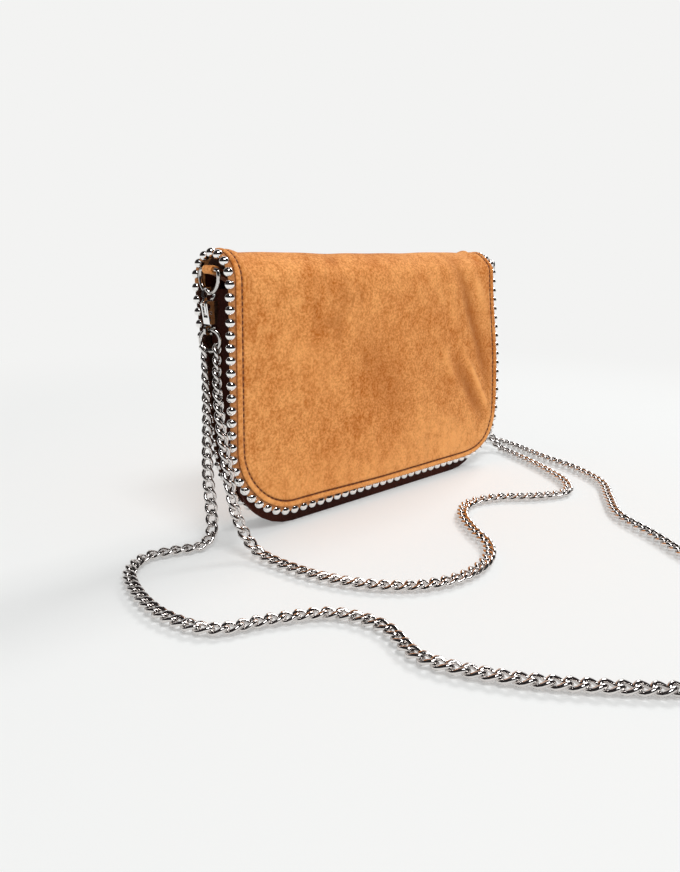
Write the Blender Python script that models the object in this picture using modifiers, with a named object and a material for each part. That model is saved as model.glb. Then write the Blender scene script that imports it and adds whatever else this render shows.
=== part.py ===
"""A small suede flap bag with ball chain edges and a double chain strap.

The bag stands on its lower edge, its front faces -Y and its left end, as seen from the front, is
at -X. The origin is on the floor, under the middle of the bag. All sizes are in metres.

Two sheets of suede, the back and the folded flap, carry a ball chain along their cut edges. The
pocket between them is a front panel, two gussets, a base and a loose lining. A D-ring hangs in a
suede tab at each end, a lobster hook clips to it, and the hook's swivel eye holds the round ring
that both strands of the strap end in.
"""

import math

import bmesh
import bpy
from mathutils import Matrix, Vector

# Overall sizes.
BAG_WIDTH = 0.204  # between the two upright lines of beads
BAG_DEPTH = 0.0282  # from the front beads to the back beads, at the fold
BASE_DEPTH = 0.0174  # from the front beads to the back beads, at the floor
ARCH_HEIGHT = 0.1218  # where the straight sides of the fold begin
ARCH_RISE = 0.0148  # how far the fold rises above that
FLAP_FOOT = 0.0076  # the flap's lowest line of beads
CORNER_RADIUS = 0.036  # of the bead line, at all four lower corners

# The ball chain.
BEAD_RADIUS = 0.0024
BEAD_PITCH = 0.0058
NECK_SHARE = 0.45  # the neck between two beads, as a share of a bead

# Sheets, walls and clearances.
GAP = 0.0003
SEAM_INSET = 0.0058  # from the bead line to the cut edge of the suede
TAPE_THICKNESS = 0.001
SUEDE_FACE = 0.0014  # the suede's outer face, from the middle of the edge
SUEDE_THICKNESS = 0.0009
LINING_FACE = 0.0006  # the flap lining's outer face, on the other side of the middle
LINING_THICKNESS = 0.0005
POCKET_SETBACK = 0.0037  # from the front beads' plane to the front panel
FRONT_THICKNESS = 0.0014
POCKET_DROP = 0.0038  # from the foot of the fold down to the pocket's rim
GUSSET_INSET = 0.0045  # from the bead line to the gusset's outer face
GUSSET_THICKNESS = 0.001
GUSSET_FOLD = 0.0045  # how far the gusset folds in at its top
POUCH_INSET = 0.012  # from the upright bead lines
POUCH_THICKNESS = 0.0008
POUCH_FOOT = 0.0092
POUCH_CORNER = 0.028
POUCH_CHAMFER = 0.002
WASHER_ROOM = 0.001  # between the front panel and the pouch

# The card pocket inside.
CARD_POCKET_WIDTH = 0.096
CARD_POCKET_HEIGHT = 0.058
CARD_POCKET_FOOT = 0.030
CARD_POCKET_THICKNESS = 0.0009
CARD_SLOT_WIDTH = 0.080
CARD_SLOT_HEIGHT = 0.0012
CARD_SLOTS = (0.020, 0.042)

# The magnetic snap.
SNAP_HEIGHT = 0.030
SNAP_RADIUS = 0.007
SNAP_PLATE = 0.0008
SNAP_SOCKET = 0.0009
SNAP_POST_RADIUS = 0.0022
SNAP_POST_CLEARANCE = 0.0004
SNAP_POST = 0.0009
WASHER_RADIUS = 0.008
WASHER_THICKNESS = 0.0004

# The ring, hook and eye at each end.
HARDWARE_BEYOND = 0.0025  # outside the upright bead lines
HARDWARE_Y = -0.001
TAB_WIDTH = BAG_DEPTH - 0.0167  # as wide as the pocket's mouth allows
TAB_LOOP_RADIUS = 0.003
TAB_THICKNESS = 0.0012
TAB_TAIL = 0.012  # from the pocket's rim down inside it
D_RING_WIRE = 0.001
D_RING_HALF_WIDTH = 0.0075
D_RING_ABOVE = 0.0057  # from the foot of the fold up to the ring's bar
D_RING_SIDE = 0.0035
D_RING_CORNER = 0.0015
HOOK_DROP = 0.0009  # from the D-ring's wire down to the middle of the hook's mouth
HOOK_MOUTH_RADIUS = 0.0022
HOOK_BOW_RADIUS = 0.004
HOOK_BOW_THICKNESS = 0.0022
HOOK_THICKNESS = 0.0052
HOOK_SLOT = 0.0034
HOOK_LENGTH = 0.0143  # from the D-ring's wire to the hook's lower end
LEVER_THICKNESS = 0.0015
LEVER_CENTRE_Y = -0.00065
PIN_OUT = 0.0013
PIN_DROP = 0.009
PIN_RADIUS = 0.00045
SPRING_RADIUS = 0.0009
SPRING_WIRE = 0.00015
SPRING_PITCH = 0.00045
SPRING_TURNS = 1.5
SPRING_START_Y = 0.00055
EYE_WIDTH = 0.0066
EYE_HEIGHT = 0.0044
EYE_HOLE_WIDTH = 0.0042
EYE_HOLE_HEIGHT = 0.0024
EYE_THICKNESS = 0.0018
EYE_DROP = 0.0006  # below the hook's lower end
EYE_POST_RADIUS = 0.001
EYE_POST = 0.0038
STRAP_RING_RADIUS = 0.00485
STRAP_RING_WIRE = 0.0009
STRAP_RING_TURN = math.radians(30)

# The chain strap. The points lie where the two strands hang and rest, in millimetres.
CHAIN_DIAMETER = 0.0065
CHAIN_ON_FLOOR = CHAIN_DIAMETER / 2 + 0.00005  # the height of its middle where it lies
CHAIN_STEP = 2.3  # diameters between two points of the tube
SHORT_STRAND = (
    (-102.75, -4.0, 88.4), (-105, -7, 76), (-108.4, -13.6, 60), (-109.4, -20, 40), (-109.4, -27, 18),
    (-107, -36.5, 6), (-105.2, -52, 3.3), (-101, -73, 3.3), (-91, -93, 3.3), (-76, -107.5, 3.3),
    (-57, -113.5, 3.3), (-38, -111, 3.3), (-23, -101, 3.3), (-12, -83.5, 3.3), (1, -67.5, 3.3),
    (17, -60, 3.3), (34, -64, 3.3), (53, -78, 3.3), (70, -84.5, 3.3), (84, -76.5, 3.3),
    (96, -58.5, 3.3), (106, -38, 3.3), (112.5, -22, 3.3), (117.3, -8, 3.7), (117.6, 0.5, 10.5),
    (114, 2.5, 23), (109.6, -2.6, 46), (105, -5, 72), (102.75, -4.0, 88.4),
)  # fmt: skip
LONG_STRAND = (
    (-106.25, 2.0, 88.4), (-105.3, 2.1, 60), (-106.3, 0.5, 29), (-107.2, -3, 15), (-111, -8.5, 6),
    (-119, -12.2, 3.3), (-131, -9, 3.3), (-143, -6.5, 3.3), (-156, -15.5, 3.3), (-164, -38, 3.3),
    (-165, -61, 3.3), (-157.5, -80, 3.3), (-137, -89, 3.3), (-117.5, -101.5, 3.3), (-111.5, -120, 3.3),
    (-117, -143, 3.3), (-107, -168, 3.3), (-80, -202, 3.3), (-58, -223, 3.3), (-37, -254, 3.3),
    (-6, -280, 3.3), (32, -287, 3.3), (62, -268, 3.3), (67, -234, 3.3), (45, -208, 3.3),
    (29, -189, 3.3), (32, -169, 3.3), (45, -146, 3.3), (58, -122, 3.3), (79, -105.5, 3.3),
    (100, -89.5, 3.3), (114, -64, 3.3), (121.5, -36, 3.3), (130.5, -10, 3.3), (134, 8, 3.3),
    (129, 23.5, 4), (117.5, 26.5, 11), (110.8, 17, 26), (108.4, 6.5, 52), (106.25, 2.0, 88.4),
)  # fmt: skip

# Worked out from the sizes above.
HALF_WIDTH = BAG_WIDTH / 2
FRONT_Y = -BAG_DEPTH / 2
BACK_TOP_Y = BAG_DEPTH / 2
BACK_FOOT_Y = FRONT_Y + BASE_DEPTH
LEAN = math.atan2(BACK_TOP_Y - BACK_FOOT_Y, ARCH_HEIGHT - BEAD_RADIUS)
BACK_LENGTH = math.hypot(BACK_TOP_Y - BACK_FOOT_Y, ARCH_HEIGHT - BEAD_RADIUS)
POCKET_TOP = ARCH_HEIGHT - POCKET_DROP
FRONT_PANEL_Y = FRONT_Y + POCKET_SETBACK
PANEL_HALF_WIDTH = HALF_WIDTH - GUSSET_INSET
PANEL_CORNER = CORNER_RADIUS - 0.002
GUSSET_END = GAP + 0.4 * GUSSET_THICKNESS  # its ends lean, because it folds in
GUSSET_FRONT_Y = FRONT_PANEL_Y + FRONT_THICKNESS + GUSSET_END
GUSSET_BACK_FACE = TAPE_THICKNESS / 2 + GUSSET_END
POUCH_HALF_WIDTH = HALF_WIDTH - POUCH_INSET
POUCH_FRONT_Y = FRONT_PANEL_Y + FRONT_THICKNESS + WASHER_ROOM
POUCH_BACK_FACE = 0.001
HARDWARE_OUT = HALF_WIDTH + HARDWARE_BEYOND
D_RING_BAR = ARCH_HEIGHT + D_RING_ABOVE
D_RING_ARC_HEIGHT = D_RING_BAR - D_RING_SIDE
D_RING_FOOT = D_RING_ARC_HEIGHT - D_RING_HALF_WIDTH
EYE_TOP = D_RING_FOOT - HOOK_LENGTH - EYE_DROP
STRAP_RING_Z = EYE_TOP - EYE_HEIGHT / 2 - STRAP_RING_RADIUS
HINGE_ROOM = GAP  # each side of the line that the flap folds along

ARCH_STEPS = 10
CORNER_STEPS = 8
UP = Vector((0, 0, 1))
TO_FRONT = Matrix.Rotation(math.pi / 2, 4, "X")  # an outline's +Y becomes up, its +Z the front


# ---------------------------------------------------------------- scene and finishes
def clear_scene():
    for old in list(bpy.data.objects):
        bpy.data.objects.remove(old, do_unlink=True)


def collection(name):
    made = bpy.data.collections.new(name)
    bpy.context.scene.collection.children.link(made)
    return made


def finish(name, colour, roughness, metallic=0.0):
    made = bpy.data.materials.new(name)
    made.use_nodes = True
    shader = made.node_tree.nodes["Principled BSDF"]
    shader.inputs["Base Color"].default_value = (*colour, 1.0)
    shader.inputs["Roughness"].default_value = roughness
    shader.inputs["Metallic"].default_value = metallic
    return made


clear_scene()
PARTS = collection("flap_bag")
CUTTERS = collection("cutters")
SUEDE = finish("suede", (0.56, 0.25, 0.075), 0.9)
TAPE = finish("suede_tape", (0.5, 0.23, 0.08), 0.9)
LEATHER = finish("dark_leather", (0.03, 0.012, 0.007), 0.55)
LINING = finish("lining", (0.055, 0.028, 0.016), 0.85)
STEEL = finish("polished_steel", (0.8, 0.79, 0.77), 0.12, 1.0)


# ---------------------------------------------------------------- building blocks
def place(name, data, material, home=None):
    made = bpy.data.objects.new(name, data)
    data.materials.append(material)
    (home or PARTS).objects.link(made)
    return made


def smooth(made):
    made.data.shade_smooth()
    made.data.set_sharp_from_angle(angle=math.radians(40))


def hide_cutter(made):
    made.hide_render = True
    made.display_type = "WIRE"


def sheet(name, rows, thickness, material, offset=-1.0):
    """A sheet through rows of points. Its outer side is where the rows run clockwise to the columns."""
    across = len(rows[0])
    points = [tuple(point) for row in rows for point in row]
    faces = []
    for i in range(len(rows) - 1):
        for j in range(across - 1):
            a, b = i * across + j, (i + 1) * across + j
            faces.append((a, b, b + 1, a + 1))
    mesh = bpy.data.meshes.new(name)
    mesh.from_pydata(points, [], faces)
    made = place(name, mesh, material)
    wall = made.modifiers.new("wall", "SOLIDIFY")
    wall.thickness = thickness
    wall.offset = offset
    wall.use_even_offset = True
    smooth(made)
    return made


def arc(centre, radius, start, end, steps):
    """Points of an arc in a flat outline, from one angle to another in degrees."""
    angles = [math.radians(start + (end - start) * k / steps) for k in range(steps + 1)]
    return [(centre[0] + radius * math.cos(a), centre[1] + radius * math.sin(a)) for a in angles]


def plate(name, outlines, thickness, material, matrix):
    """A flat outline, with holes as further outlines, made solid about its own plane."""
    curve = bpy.data.curves.new(name, "CURVE")
    curve.dimensions = "2D"
    curve.fill_mode = "BOTH"
    curve.extrude = thickness / 2
    for outline in outlines:
        spline = curve.splines.new("POLY")
        spline.points.add(len(outline) - 1)
        for point, (x, y) in zip(spline.points, outline):
            point.co = (x, y, 0, 1)
        spline.use_cyclic_u = True
    made = place(name, curve, material)
    made.matrix_world = matrix
    return made


def tube(name, points, radius, material, sizes=None, closed=False, resolution=2):
    """A round tube along points, which may swell and narrow by sizes."""
    curve = bpy.data.curves.new(name, "CURVE")
    curve.dimensions = "3D"
    curve.bevel_depth = radius
    curve.bevel_resolution = resolution
    curve.use_fill_caps = not closed
    spline = curve.splines.new("POLY")
    spline.points.add(len(points) - 1)
    for k, place_at in enumerate(points):
        spline.points[k].co = (*place_at, 1)
        spline.points[k].radius = sizes[k] if sizes else 1.0
    spline.use_cyclic_u = closed
    spline.use_smooth = True
    return place(name, curve, material)


def as_mesh(made):
    """The same piece as a plain closed mesh, so that it can be cut or joined."""
    bpy.context.view_layer.update()
    graph = bpy.context.evaluated_depsgraph_get()
    mesh = bpy.data.meshes.new_from_object(made.evaluated_get(graph))
    work = bmesh.new()
    work.from_mesh(mesh)
    bmesh.ops.remove_doubles(work, verts=work.verts, dist=1e-6)
    bmesh.ops.recalc_face_normals(work, faces=work.faces)
    work.to_mesh(mesh)
    work.free()
    name, home, matrix = made.name, made.users_collection[0], made.matrix_world.copy()
    bpy.data.objects.remove(made)
    solid = bpy.data.objects.new(name, mesh)
    solid.matrix_world = matrix
    home.objects.link(solid)
    return solid


def rod(name, radius, start, end, material, sides=16, home=None):
    """A straight round bar between two points."""
    start, end = Vector(start), Vector(end)
    mesh = bpy.data.meshes.new(name)
    work = bmesh.new()
    bmesh.ops.create_cone(
        work, cap_ends=True, segments=sides, radius1=radius, radius2=radius, depth=(end - start).length
    )
    work.to_mesh(mesh)
    work.free()
    made = place(name, mesh, material, home)
    turn = (end - start).to_track_quat("Z", "Y").to_matrix().to_4x4()
    made.matrix_world = Matrix.Translation((start + end) / 2) @ turn
    return made


def block(name, low, high, home=None, material=None):
    """A box between two corners."""
    mesh = bpy.data.meshes.new(name)
    work = bmesh.new()
    bmesh.ops.create_cube(work, size=1.0)
    for corner in work.verts:
        for k in range(3):
            corner.co[k] = low[k] if corner.co[k] < 0 else high[k]
    work.to_mesh(mesh)
    work.free()
    return place(name, mesh, material or STEEL, home or CUTTERS)


def combine(made, tool, operation):
    step = made.modifiers.new(operation.lower(), "BOOLEAN")
    step.operation = operation
    step.object = tool
    hide_cutter(tool)


def along(points, count):
    """Evenly spaced points along a line of points, ends included."""
    lengths = [0.0]
    for a, b in zip(points, points[1:]):
        lengths.append(lengths[-1] + (b - a).length)
    made, k = [], 0
    for n in range(count + 1):
        target = lengths[-1] * n / count
        while k < len(points) - 2 and lengths[k + 1] < target:
            k += 1
        share = (target - lengths[k]) / (lengths[k + 1] - lengths[k])
        made.append(points[k].lerp(points[k + 1], share))
    return made


def length_of(points):
    return sum((b - a).length for a, b in zip(points, points[1:]))


def mirrored(point):
    return Vector((-point.x, point.y, point.z))


def both_halves(left):
    """A line that runs down the left side, given its mirror image up the right side."""
    return left + [mirrored(point) for point in reversed(left)]


# ---------------------------------------------------------------- the two suede sheets' shapes
def flap_half(inset, face=0.0):
    """The left half of the flap's outline, from the fold's back, over it and down the front."""
    x = HALF_WIDTH - inset
    depth, rise = BACK_TOP_Y + face, ARCH_RISE + face
    first = math.asin(HINGE_ROOM / rise)
    points = []
    for k in range(ARCH_STEPS + 1):
        angle = first + (math.pi - first) * k / ARCH_STEPS
        points.append(Vector((-x, depth * math.cos(angle), ARCH_HEIGHT + rise * math.sin(angle))))
    centre_x, centre_z = HALF_WIDTH - CORNER_RADIUS, FLAP_FOOT + CORNER_RADIUS
    for k in range(CORNER_STEPS + 1):
        angle = math.pi / 2 * k / CORNER_STEPS
        radius = CORNER_RADIUS - inset
        points.append(
            Vector((-centre_x - radius * math.cos(angle), FRONT_Y - face, centre_z - radius * math.sin(angle)))
        )
    return points


def on_back(x, up, face=0.0):
    """A point of the back, from its height along the leaning sheet and how far it stands out."""
    y = BACK_FOOT_Y + up * math.sin(LEAN) + face * math.cos(LEAN)
    z = BEAD_RADIUS + up * math.cos(LEAN) - face * math.sin(LEAN)
    return Vector((x, y, z))


def back_half(inset, face=0.0, top=BACK_LENGTH - HINGE_ROOM):
    """The left half of the back's outline, from the fold down."""
    points = [on_back(-(HALF_WIDTH - inset), top, face)]
    centre = HALF_WIDTH - CORNER_RADIUS
    for k in range(CORNER_STEPS + 1):
        angle = math.pi / 2 * k / CORNER_STEPS
        radius = CORNER_RADIUS - inset
        points.append(on_back(-centre - radius * math.cos(angle), CORNER_RADIUS - radius * math.sin(angle), face))
    return points


def spans(left):
    """Rows from the left edge to the right edge."""
    return [(point, mirrored(point)) for point in left]


def tape(name, half):
    """The folded tape that holds the bead line to the suede's cut edge."""
    outer = both_halves(half(BEAD_RADIUS + GAP))
    inner = both_halves(half(SEAM_INSET - GAP))
    return list(zip(outer, inner))


def beads(name, line):
    """A ball chain as one body: a ring at each bead's middle and at each neck."""
    count = round(length_of(line) / BEAD_PITCH)
    points = along(line, 2 * count)
    sizes = [1.0 if k % 2 else NECK_SHARE for k in range(len(points))]
    return tube(name, points, BEAD_RADIUS, STEEL, sizes)


def make_flap():
    sheet("flap_panel", spans(flap_half(SEAM_INSET, SUEDE_FACE)), SUEDE_THICKNESS, SUEDE)
    sheet("flap_lining", spans(flap_half(SEAM_INSET, -LINING_FACE)), LINING_THICKNESS, LINING)
    sheet("flap_trim_tape", tape("flap_trim_tape", flap_half), TAPE_THICKNESS, TAPE, 0.0)
    beads("flap_bead_trim", both_halves(flap_half(0.0)))


def make_back():
    rows = list(reversed(spans(back_half(SEAM_INSET, SUEDE_FACE))))
    sheet("back_panel", rows, SUEDE_THICKNESS, SUEDE)
    sheet("back_trim_tape", tape("back_trim_tape", back_half), TAPE_THICKNESS, TAPE, 0.0)
    beads("back_bead_trim", both_halves(back_half(0.0)))


# ---------------------------------------------------------------- the pocket
def make_front_panel():
    centre = (PANEL_HALF_WIDTH - PANEL_CORNER, PANEL_CORNER)
    right = arc(centre, PANEL_CORNER, -90, 0, CORNER_STEPS) + [(PANEL_HALF_WIDTH, POCKET_TOP)]
    outline = right + [(-x, y) for x, y in reversed(right)]
    middle = Matrix.Translation((0, FRONT_PANEL_Y + FRONT_THICKNESS / 2, 0))
    plate("front_panel", [outline], FRONT_THICKNESS, LEATHER, middle @ TO_FRONT)


def gusset_rows(fold):
    """Rows down the left end and round its corner, each from the back edge to the front edge."""
    back_radius = CORNER_RADIUS - GUSSET_INSET
    back_centre = HALF_WIDTH - CORNER_RADIUS
    front_centre = PANEL_HALF_WIDTH - PANEL_CORNER
    top_up = (POCKET_TOP - BEAD_RADIUS) / math.cos(LEAN)
    rows = []
    for k in range(-1, CORNER_STEPS + 1):
        angle = math.pi / 2 * max(k, 0) / CORNER_STEPS
        c, s = math.cos(angle), math.sin(angle)
        back = on_back(-back_centre - back_radius * c, CORNER_RADIUS - back_radius * s, -GUSSET_BACK_FACE)
        front = Vector((-front_centre - PANEL_CORNER * c, GUSSET_FRONT_Y, PANEL_CORNER * (1 - s)))
        if k < 0:
            back = on_back(back.x, top_up, -GUSSET_BACK_FACE)
            front.z = POCKET_TOP
        share = 1.0 if k < 0 else 0.4 * (1 - k / CORNER_STEPS)
        middle = (back + front) / 2 + Vector((c, 0, s)) * fold * share
        rows.append((back, middle, front))
    return rows


def make_gussets_and_base():
    left = gusset_rows(GUSSET_FOLD)
    sheet("gusset_left", left, GUSSET_THICKNESS, LEATHER)
    right = [tuple(mirrored(point) for point in reversed(row)) for row in left]
    sheet("gusset_right", right, GUSSET_THICKNESS, LEATHER)
    end = [point + Vector((GAP, 0, 0)) for point in left[-1]]
    sheet("base_panel", [end, [mirrored(point) for point in end]], GUSSET_THICKNESS, LEATHER)


def pouch_back_y(z):
    return BACK_FOOT_Y + (z - BEAD_RADIUS) * math.tan(LEAN) - POUCH_BACK_FACE / math.cos(LEAN)


def make_pouch():
    """The lining: an open-topped bag of loops, one above another."""
    levels = [
        (POUCH_HALF_WIDTH - POUCH_CORNER + x, POUCH_FOOT + POUCH_CORNER + z)
        for x, z in arc((0, 0), POUCH_CORNER, -90, 0, 5)
    ]
    levels.append((POUCH_HALF_WIDTH, POCKET_TOP))
    work = bmesh.new()
    loops = []
    for w, z in levels:
        front, back, c = POUCH_FRONT_Y, pouch_back_y(z), POUCH_CHAMFER
        corners = [(w - c, front), (w, front + c), (w, back - c), (w - c, back)]
        ring = corners + [(-x, y) for x, y in reversed(corners)]
        loops.append([work.verts.new((x, y, z)) for x, y in ring])
    work.faces.new(list(reversed(loops[0])))
    for lower, upper in zip(loops, loops[1:]):
        for j in range(len(lower)):
            n = (j + 1) % len(lower)
            work.faces.new((lower[j], lower[n], upper[n], upper[j]))
    mesh = bpy.data.meshes.new("lining_pouch")
    work.to_mesh(mesh)
    work.free()
    made = place("lining_pouch", mesh, LINING)
    wall = made.modifiers.new("wall", "SOLIDIFY")
    wall.thickness = POUCH_THICKNESS
    wall.offset = -1.0
    smooth(made)


def rectangle(width, low, high):
    return [(-width / 2, low), (width / 2, low), (width / 2, high), (-width / 2, high)]


def make_card_pocket():
    outlines = [rectangle(CARD_POCKET_WIDTH, 0, CARD_POCKET_HEIGHT)]
    outlines += [rectangle(CARD_SLOT_WIDTH, up, up + CARD_SLOT_HEIGHT) for up in CARD_SLOTS]
    face = -(POUCH_BACK_FACE + POUCH_THICKNESS + GAP + CARD_POCKET_THICKNESS / 2)
    lean = Matrix.Rotation(-LEAN, 4, "X")
    foot = Matrix.Translation(on_back(0, CARD_POCKET_FOOT, face))
    plate("card_pocket", outlines, CARD_POCKET_THICKNESS, LEATHER, foot @ lean @ TO_FRONT)


# ---------------------------------------------------------------- the magnetic snap
def turned(name, profile, material, centre):
    """A turned piece about an axis towards the front. The profile runs down its outer side."""
    mesh = bpy.data.meshes.new(name)
    edges = [(k, k + 1) for k in range(len(profile) - 1)]
    mesh.from_pydata([(radius, 0, height) for radius, height in profile], edges, [])
    made = place(name, mesh, material)
    made.matrix_world = Matrix.Translation(centre) @ TO_FRONT
    spin = made.modifiers.new("turn", "SCREW")
    spin.steps = spin.render_steps = 24
    spin.use_merge_vertices = True
    spin.merge_threshold = 1e-5
    return made


def ring_plate(name, radius, hole, thickness, y, material):
    outlines = [arc((0, 0), radius, 0, 345, 23), arc((0, 0), hole, 0, 345, 23)]
    plate(name, outlines, thickness, material, Matrix.Translation((0, y, SNAP_HEIGHT)) @ TO_FRONT)


def make_snap():
    hole = SNAP_POST_RADIUS + SNAP_POST_CLEARANCE
    socket_y = FRONT_PANEL_Y - GAP - SNAP_SOCKET / 2
    ring_plate("magnet_socket", SNAP_RADIUS, hole, SNAP_SOCKET, socket_y, STEEL)
    plate_y = socket_y - SNAP_SOCKET / 2 - GAP
    profile = [
        (0, 0), (SNAP_RADIUS, 0), (SNAP_RADIUS, -SNAP_PLATE), (SNAP_POST_RADIUS, -SNAP_PLATE),
        (SNAP_POST_RADIUS, -SNAP_PLATE - SNAP_POST), (0, -SNAP_PLATE - SNAP_POST),
    ]  # fmt: skip
    turned("magnet_stud", profile, STEEL, (0, plate_y - SNAP_PLATE, SNAP_HEIGHT))
    washer_y = FRONT_PANEL_Y + FRONT_THICKNESS + WASHER_ROOM / 2
    ring_plate("socket_washer", WASHER_RADIUS, hole, WASHER_THICKNESS, washer_y, STEEL)
    between = (SUEDE_FACE - SUEDE_THICKNESS - LINING_FACE) / 2
    ring_plate("stud_washer", WASHER_RADIUS, hole, WASHER_THICKNESS, FRONT_Y - between, STEEL)


# ---------------------------------------------------------------- rings, tabs and hooks
def end_frame(side):
    """From an end's own outline, +X outwards and +Y up, to the bag. side is -1 left, 1 right."""
    turn = Matrix(((side, 0, 0, 0), (0, 0, -side, 0), (0, 1, 0, 0), (0, 0, 0, 1)))
    return Matrix.Translation((side * HARDWARE_OUT, HARDWARE_Y, D_RING_FOOT)) @ turn


def at_end(side, out, y, z):
    return Vector((side * (HARDWARE_OUT + out), HARDWARE_Y + y, z))


def make_tab(suffix, side):
    """A strip of suede up inside the gusset, over its top and round the D-ring's bar."""
    inner = PANEL_HALF_WIDTH - GUSSET_FOLD - GUSSET_THICKNESS - GAP - HARDWARE_OUT
    bar = D_RING_BAR - D_RING_FOOT
    top = POCKET_TOP - D_RING_FOOT + 4 * GAP
    foot = top - TAB_TAIL
    rise = top + 0.6 * (bar - TAB_LOOP_RADIUS - top)
    outline = [(inner - TAB_THICKNESS, foot), (inner, foot), (inner, top), (0.66 * inner, rise)]
    outline += arc((0, bar), TAB_LOOP_RADIUS, -100, 95, 10)
    outline += [(0.66 * inner, rise + 3 * TAB_THICKNESS), (inner - TAB_THICKNESS, top + 2 * TAB_THICKNESS)]
    hole = arc((0, bar), D_RING_WIRE + GAP, 0, 330, 11)
    plate("strap_tab" + suffix, [outline, hole], TAB_WIDTH, SUEDE, end_frame(side))


def make_d_ring(suffix, side):
    half, corner = D_RING_HALF_WIDTH, D_RING_CORNER
    path = arc((0, D_RING_ARC_HEIGHT), half, 180, 360, 12)
    path += arc((half - corner, D_RING_BAR - corner), corner, 0, 90, 3)
    path += arc((corner - half, D_RING_BAR - corner), corner, 90, 180, 3)
    points = [at_end(side, 0, y, z) for y, z in path]
    tube("d_ring" + suffix, points, D_RING_WIRE, STEEL, closed=True)


def make_hook(suffix, side):
    """The hook's body: a bow that ends at the gate, and a slotted block below it."""
    frame = end_frame(side)
    mouth = (0, -HOOK_DROP)
    bow = arc(mouth, HOOK_BOW_RADIUS, -5, 180, 10)
    bow += [(-0.0037, -0.0042), (-0.0028, -0.0085), (-0.0009, -0.0085), (-0.0009, -0.0036)]
    bow += arc(mouth, HOOK_MOUTH_RADIUS, 250, -5, 12)
    hook = as_mesh(plate("hook_body" + suffix, [bow], HOOK_BOW_THICKNESS, STEEL, frame))
    lower = -HOOK_LENGTH
    outline = [
        (-0.0036, -0.0046), (-0.0019, lower), (0.0019, lower), (0.0034, -0.0046), (0.0028, -0.0034), (-0.003, -0.0034)
    ]  # fmt: skip
    body = as_mesh(plate("hook_block" + suffix, [outline], HOOK_THICKNESS, STEEL, frame))
    CUTTERS.objects.link(body)
    PARTS.objects.unlink(body)
    z = D_RING_FOOT
    low = at_end(side, -0.0006, -HOOK_SLOT / 2, z - 0.0112)
    high = at_end(side, 0.006, HOOK_SLOT / 2, z - 0.002)
    slot = block("hook_slot" + suffix, [min(a, b) for a, b in zip(low, high)], [max(a, b) for a, b in zip(low, high)])
    combine(body, slot, "DIFFERENCE")
    pin_z = z - PIN_DROP
    reach = HOOK_THICKNESS
    ends = [at_end(side, PIN_OUT, y, pin_z) for y in (-reach, reach)]
    bore = rod("pin_bore" + suffix, PIN_RADIUS + GAP, *ends, STEEL, home=CUTTERS)
    combine(body, bore, "DIFFERENCE")
    post_bore_top = EYE_TOP + EYE_POST + GAP
    post_ends = (at_end(side, 0, 0, EYE_TOP - EYE_HEIGHT), at_end(side, 0, 0, post_bore_top))
    post_bore = rod("post_bore" + suffix, EYE_POST_RADIUS + GAP, *post_ends, STEEL, home=CUTTERS)
    combine(body, post_bore, "DIFFERENCE")
    combine(hook, body, "UNION")
    pin_ends = [at_end(side, PIN_OUT, y, pin_z) for y in (-HOOK_THICKNESS / 2, HOOK_THICKNESS / 2)]
    rod("hook_pin" + suffix, PIN_RADIUS, *pin_ends, STEEL)


def make_lever(suffix, side):
    """The thumb lever that closes the mouth, with its pivot on the object's origin."""
    pivot = (PIN_OUT, -PIN_DROP)
    outline = arc(pivot, 0.0015, 150, 345, 9)
    outline += [
        (0.0034, -0.0062), (0.0052, -0.0054), (0.0055, -0.0046), (0.0041, -0.0032),
        (0.0039, -0.0016), (0.0024, -0.0016), (0.0022, -0.0034), (0.0006, -0.007),
    ]  # fmt: skip
    outline = [(x - pivot[0], y - pivot[1]) for x, y in outline]
    hole = arc((0, 0), PIN_RADIUS + GAP, 0, 330, 11)
    frame = end_frame(side) @ Matrix.Translation((*pivot, -side * LEVER_CENTRE_Y))
    plate("hook_lever" + suffix, [outline, hole], LEVER_THICKNESS, STEEL, frame)


def make_spring(suffix, side):
    steps = round(SPRING_TURNS * 12)
    centre = at_end(side, PIN_OUT, 0, D_RING_FOOT - PIN_DROP)
    points = []
    for k in range(steps + 1):
        angle = 2 * math.pi * k / 12
        y = SPRING_START_Y + SPRING_PITCH * k / 12
        points.append(centre + Vector((SPRING_RADIUS * math.cos(angle), y, SPRING_RADIUS * math.sin(angle))))
    tube("hook_spring" + suffix, points, SPRING_WIRE, STEEL, resolution=1)


def make_eye(suffix, side):
    half, hole_half = EYE_WIDTH / 2, EYE_HOLE_WIDTH / 2
    top = EYE_TOP - D_RING_FOOT
    low, corner = top - EYE_HEIGHT, 0.0012
    outline = arc((half - corner, low + corner), corner, -90, 0, 3)
    outline += arc((half - corner, top - corner), corner, 0, 90, 3)
    outline += [(-x, y) for x, y in reversed(outline)]
    inner_low = low + (EYE_HEIGHT - EYE_HOLE_HEIGHT) / 2
    hole = [(x, y + inner_low) for x, y in rectangle(2 * hole_half, 0, EYE_HOLE_HEIGHT)]
    eye = as_mesh(plate("swivel_eye" + suffix, [outline, hole], EYE_THICKNESS, STEEL, end_frame(side)))
    ends = (at_end(side, 0, 0, EYE_TOP - 0.0005), at_end(side, 0, 0, EYE_TOP + EYE_POST))
    post = rod("eye_post" + suffix, EYE_POST_RADIUS, *ends, STEEL, home=CUTTERS)
    combine(eye, post, "UNION")


def make_strap_ring(suffix, side):
    points = []
    for k in range(20):
        angle = 2 * math.pi * k / 20
        run = STRAP_RING_RADIUS * math.cos(angle)
        height = STRAP_RING_Z + STRAP_RING_RADIUS * math.sin(angle)
        out, y = -run * math.sin(STRAP_RING_TURN), -run * math.cos(STRAP_RING_TURN)
        points.append(at_end(side, out, y, height))
    tube("strap_ring" + suffix, points, STRAP_RING_WIRE, STEEL, closed=True)


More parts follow.
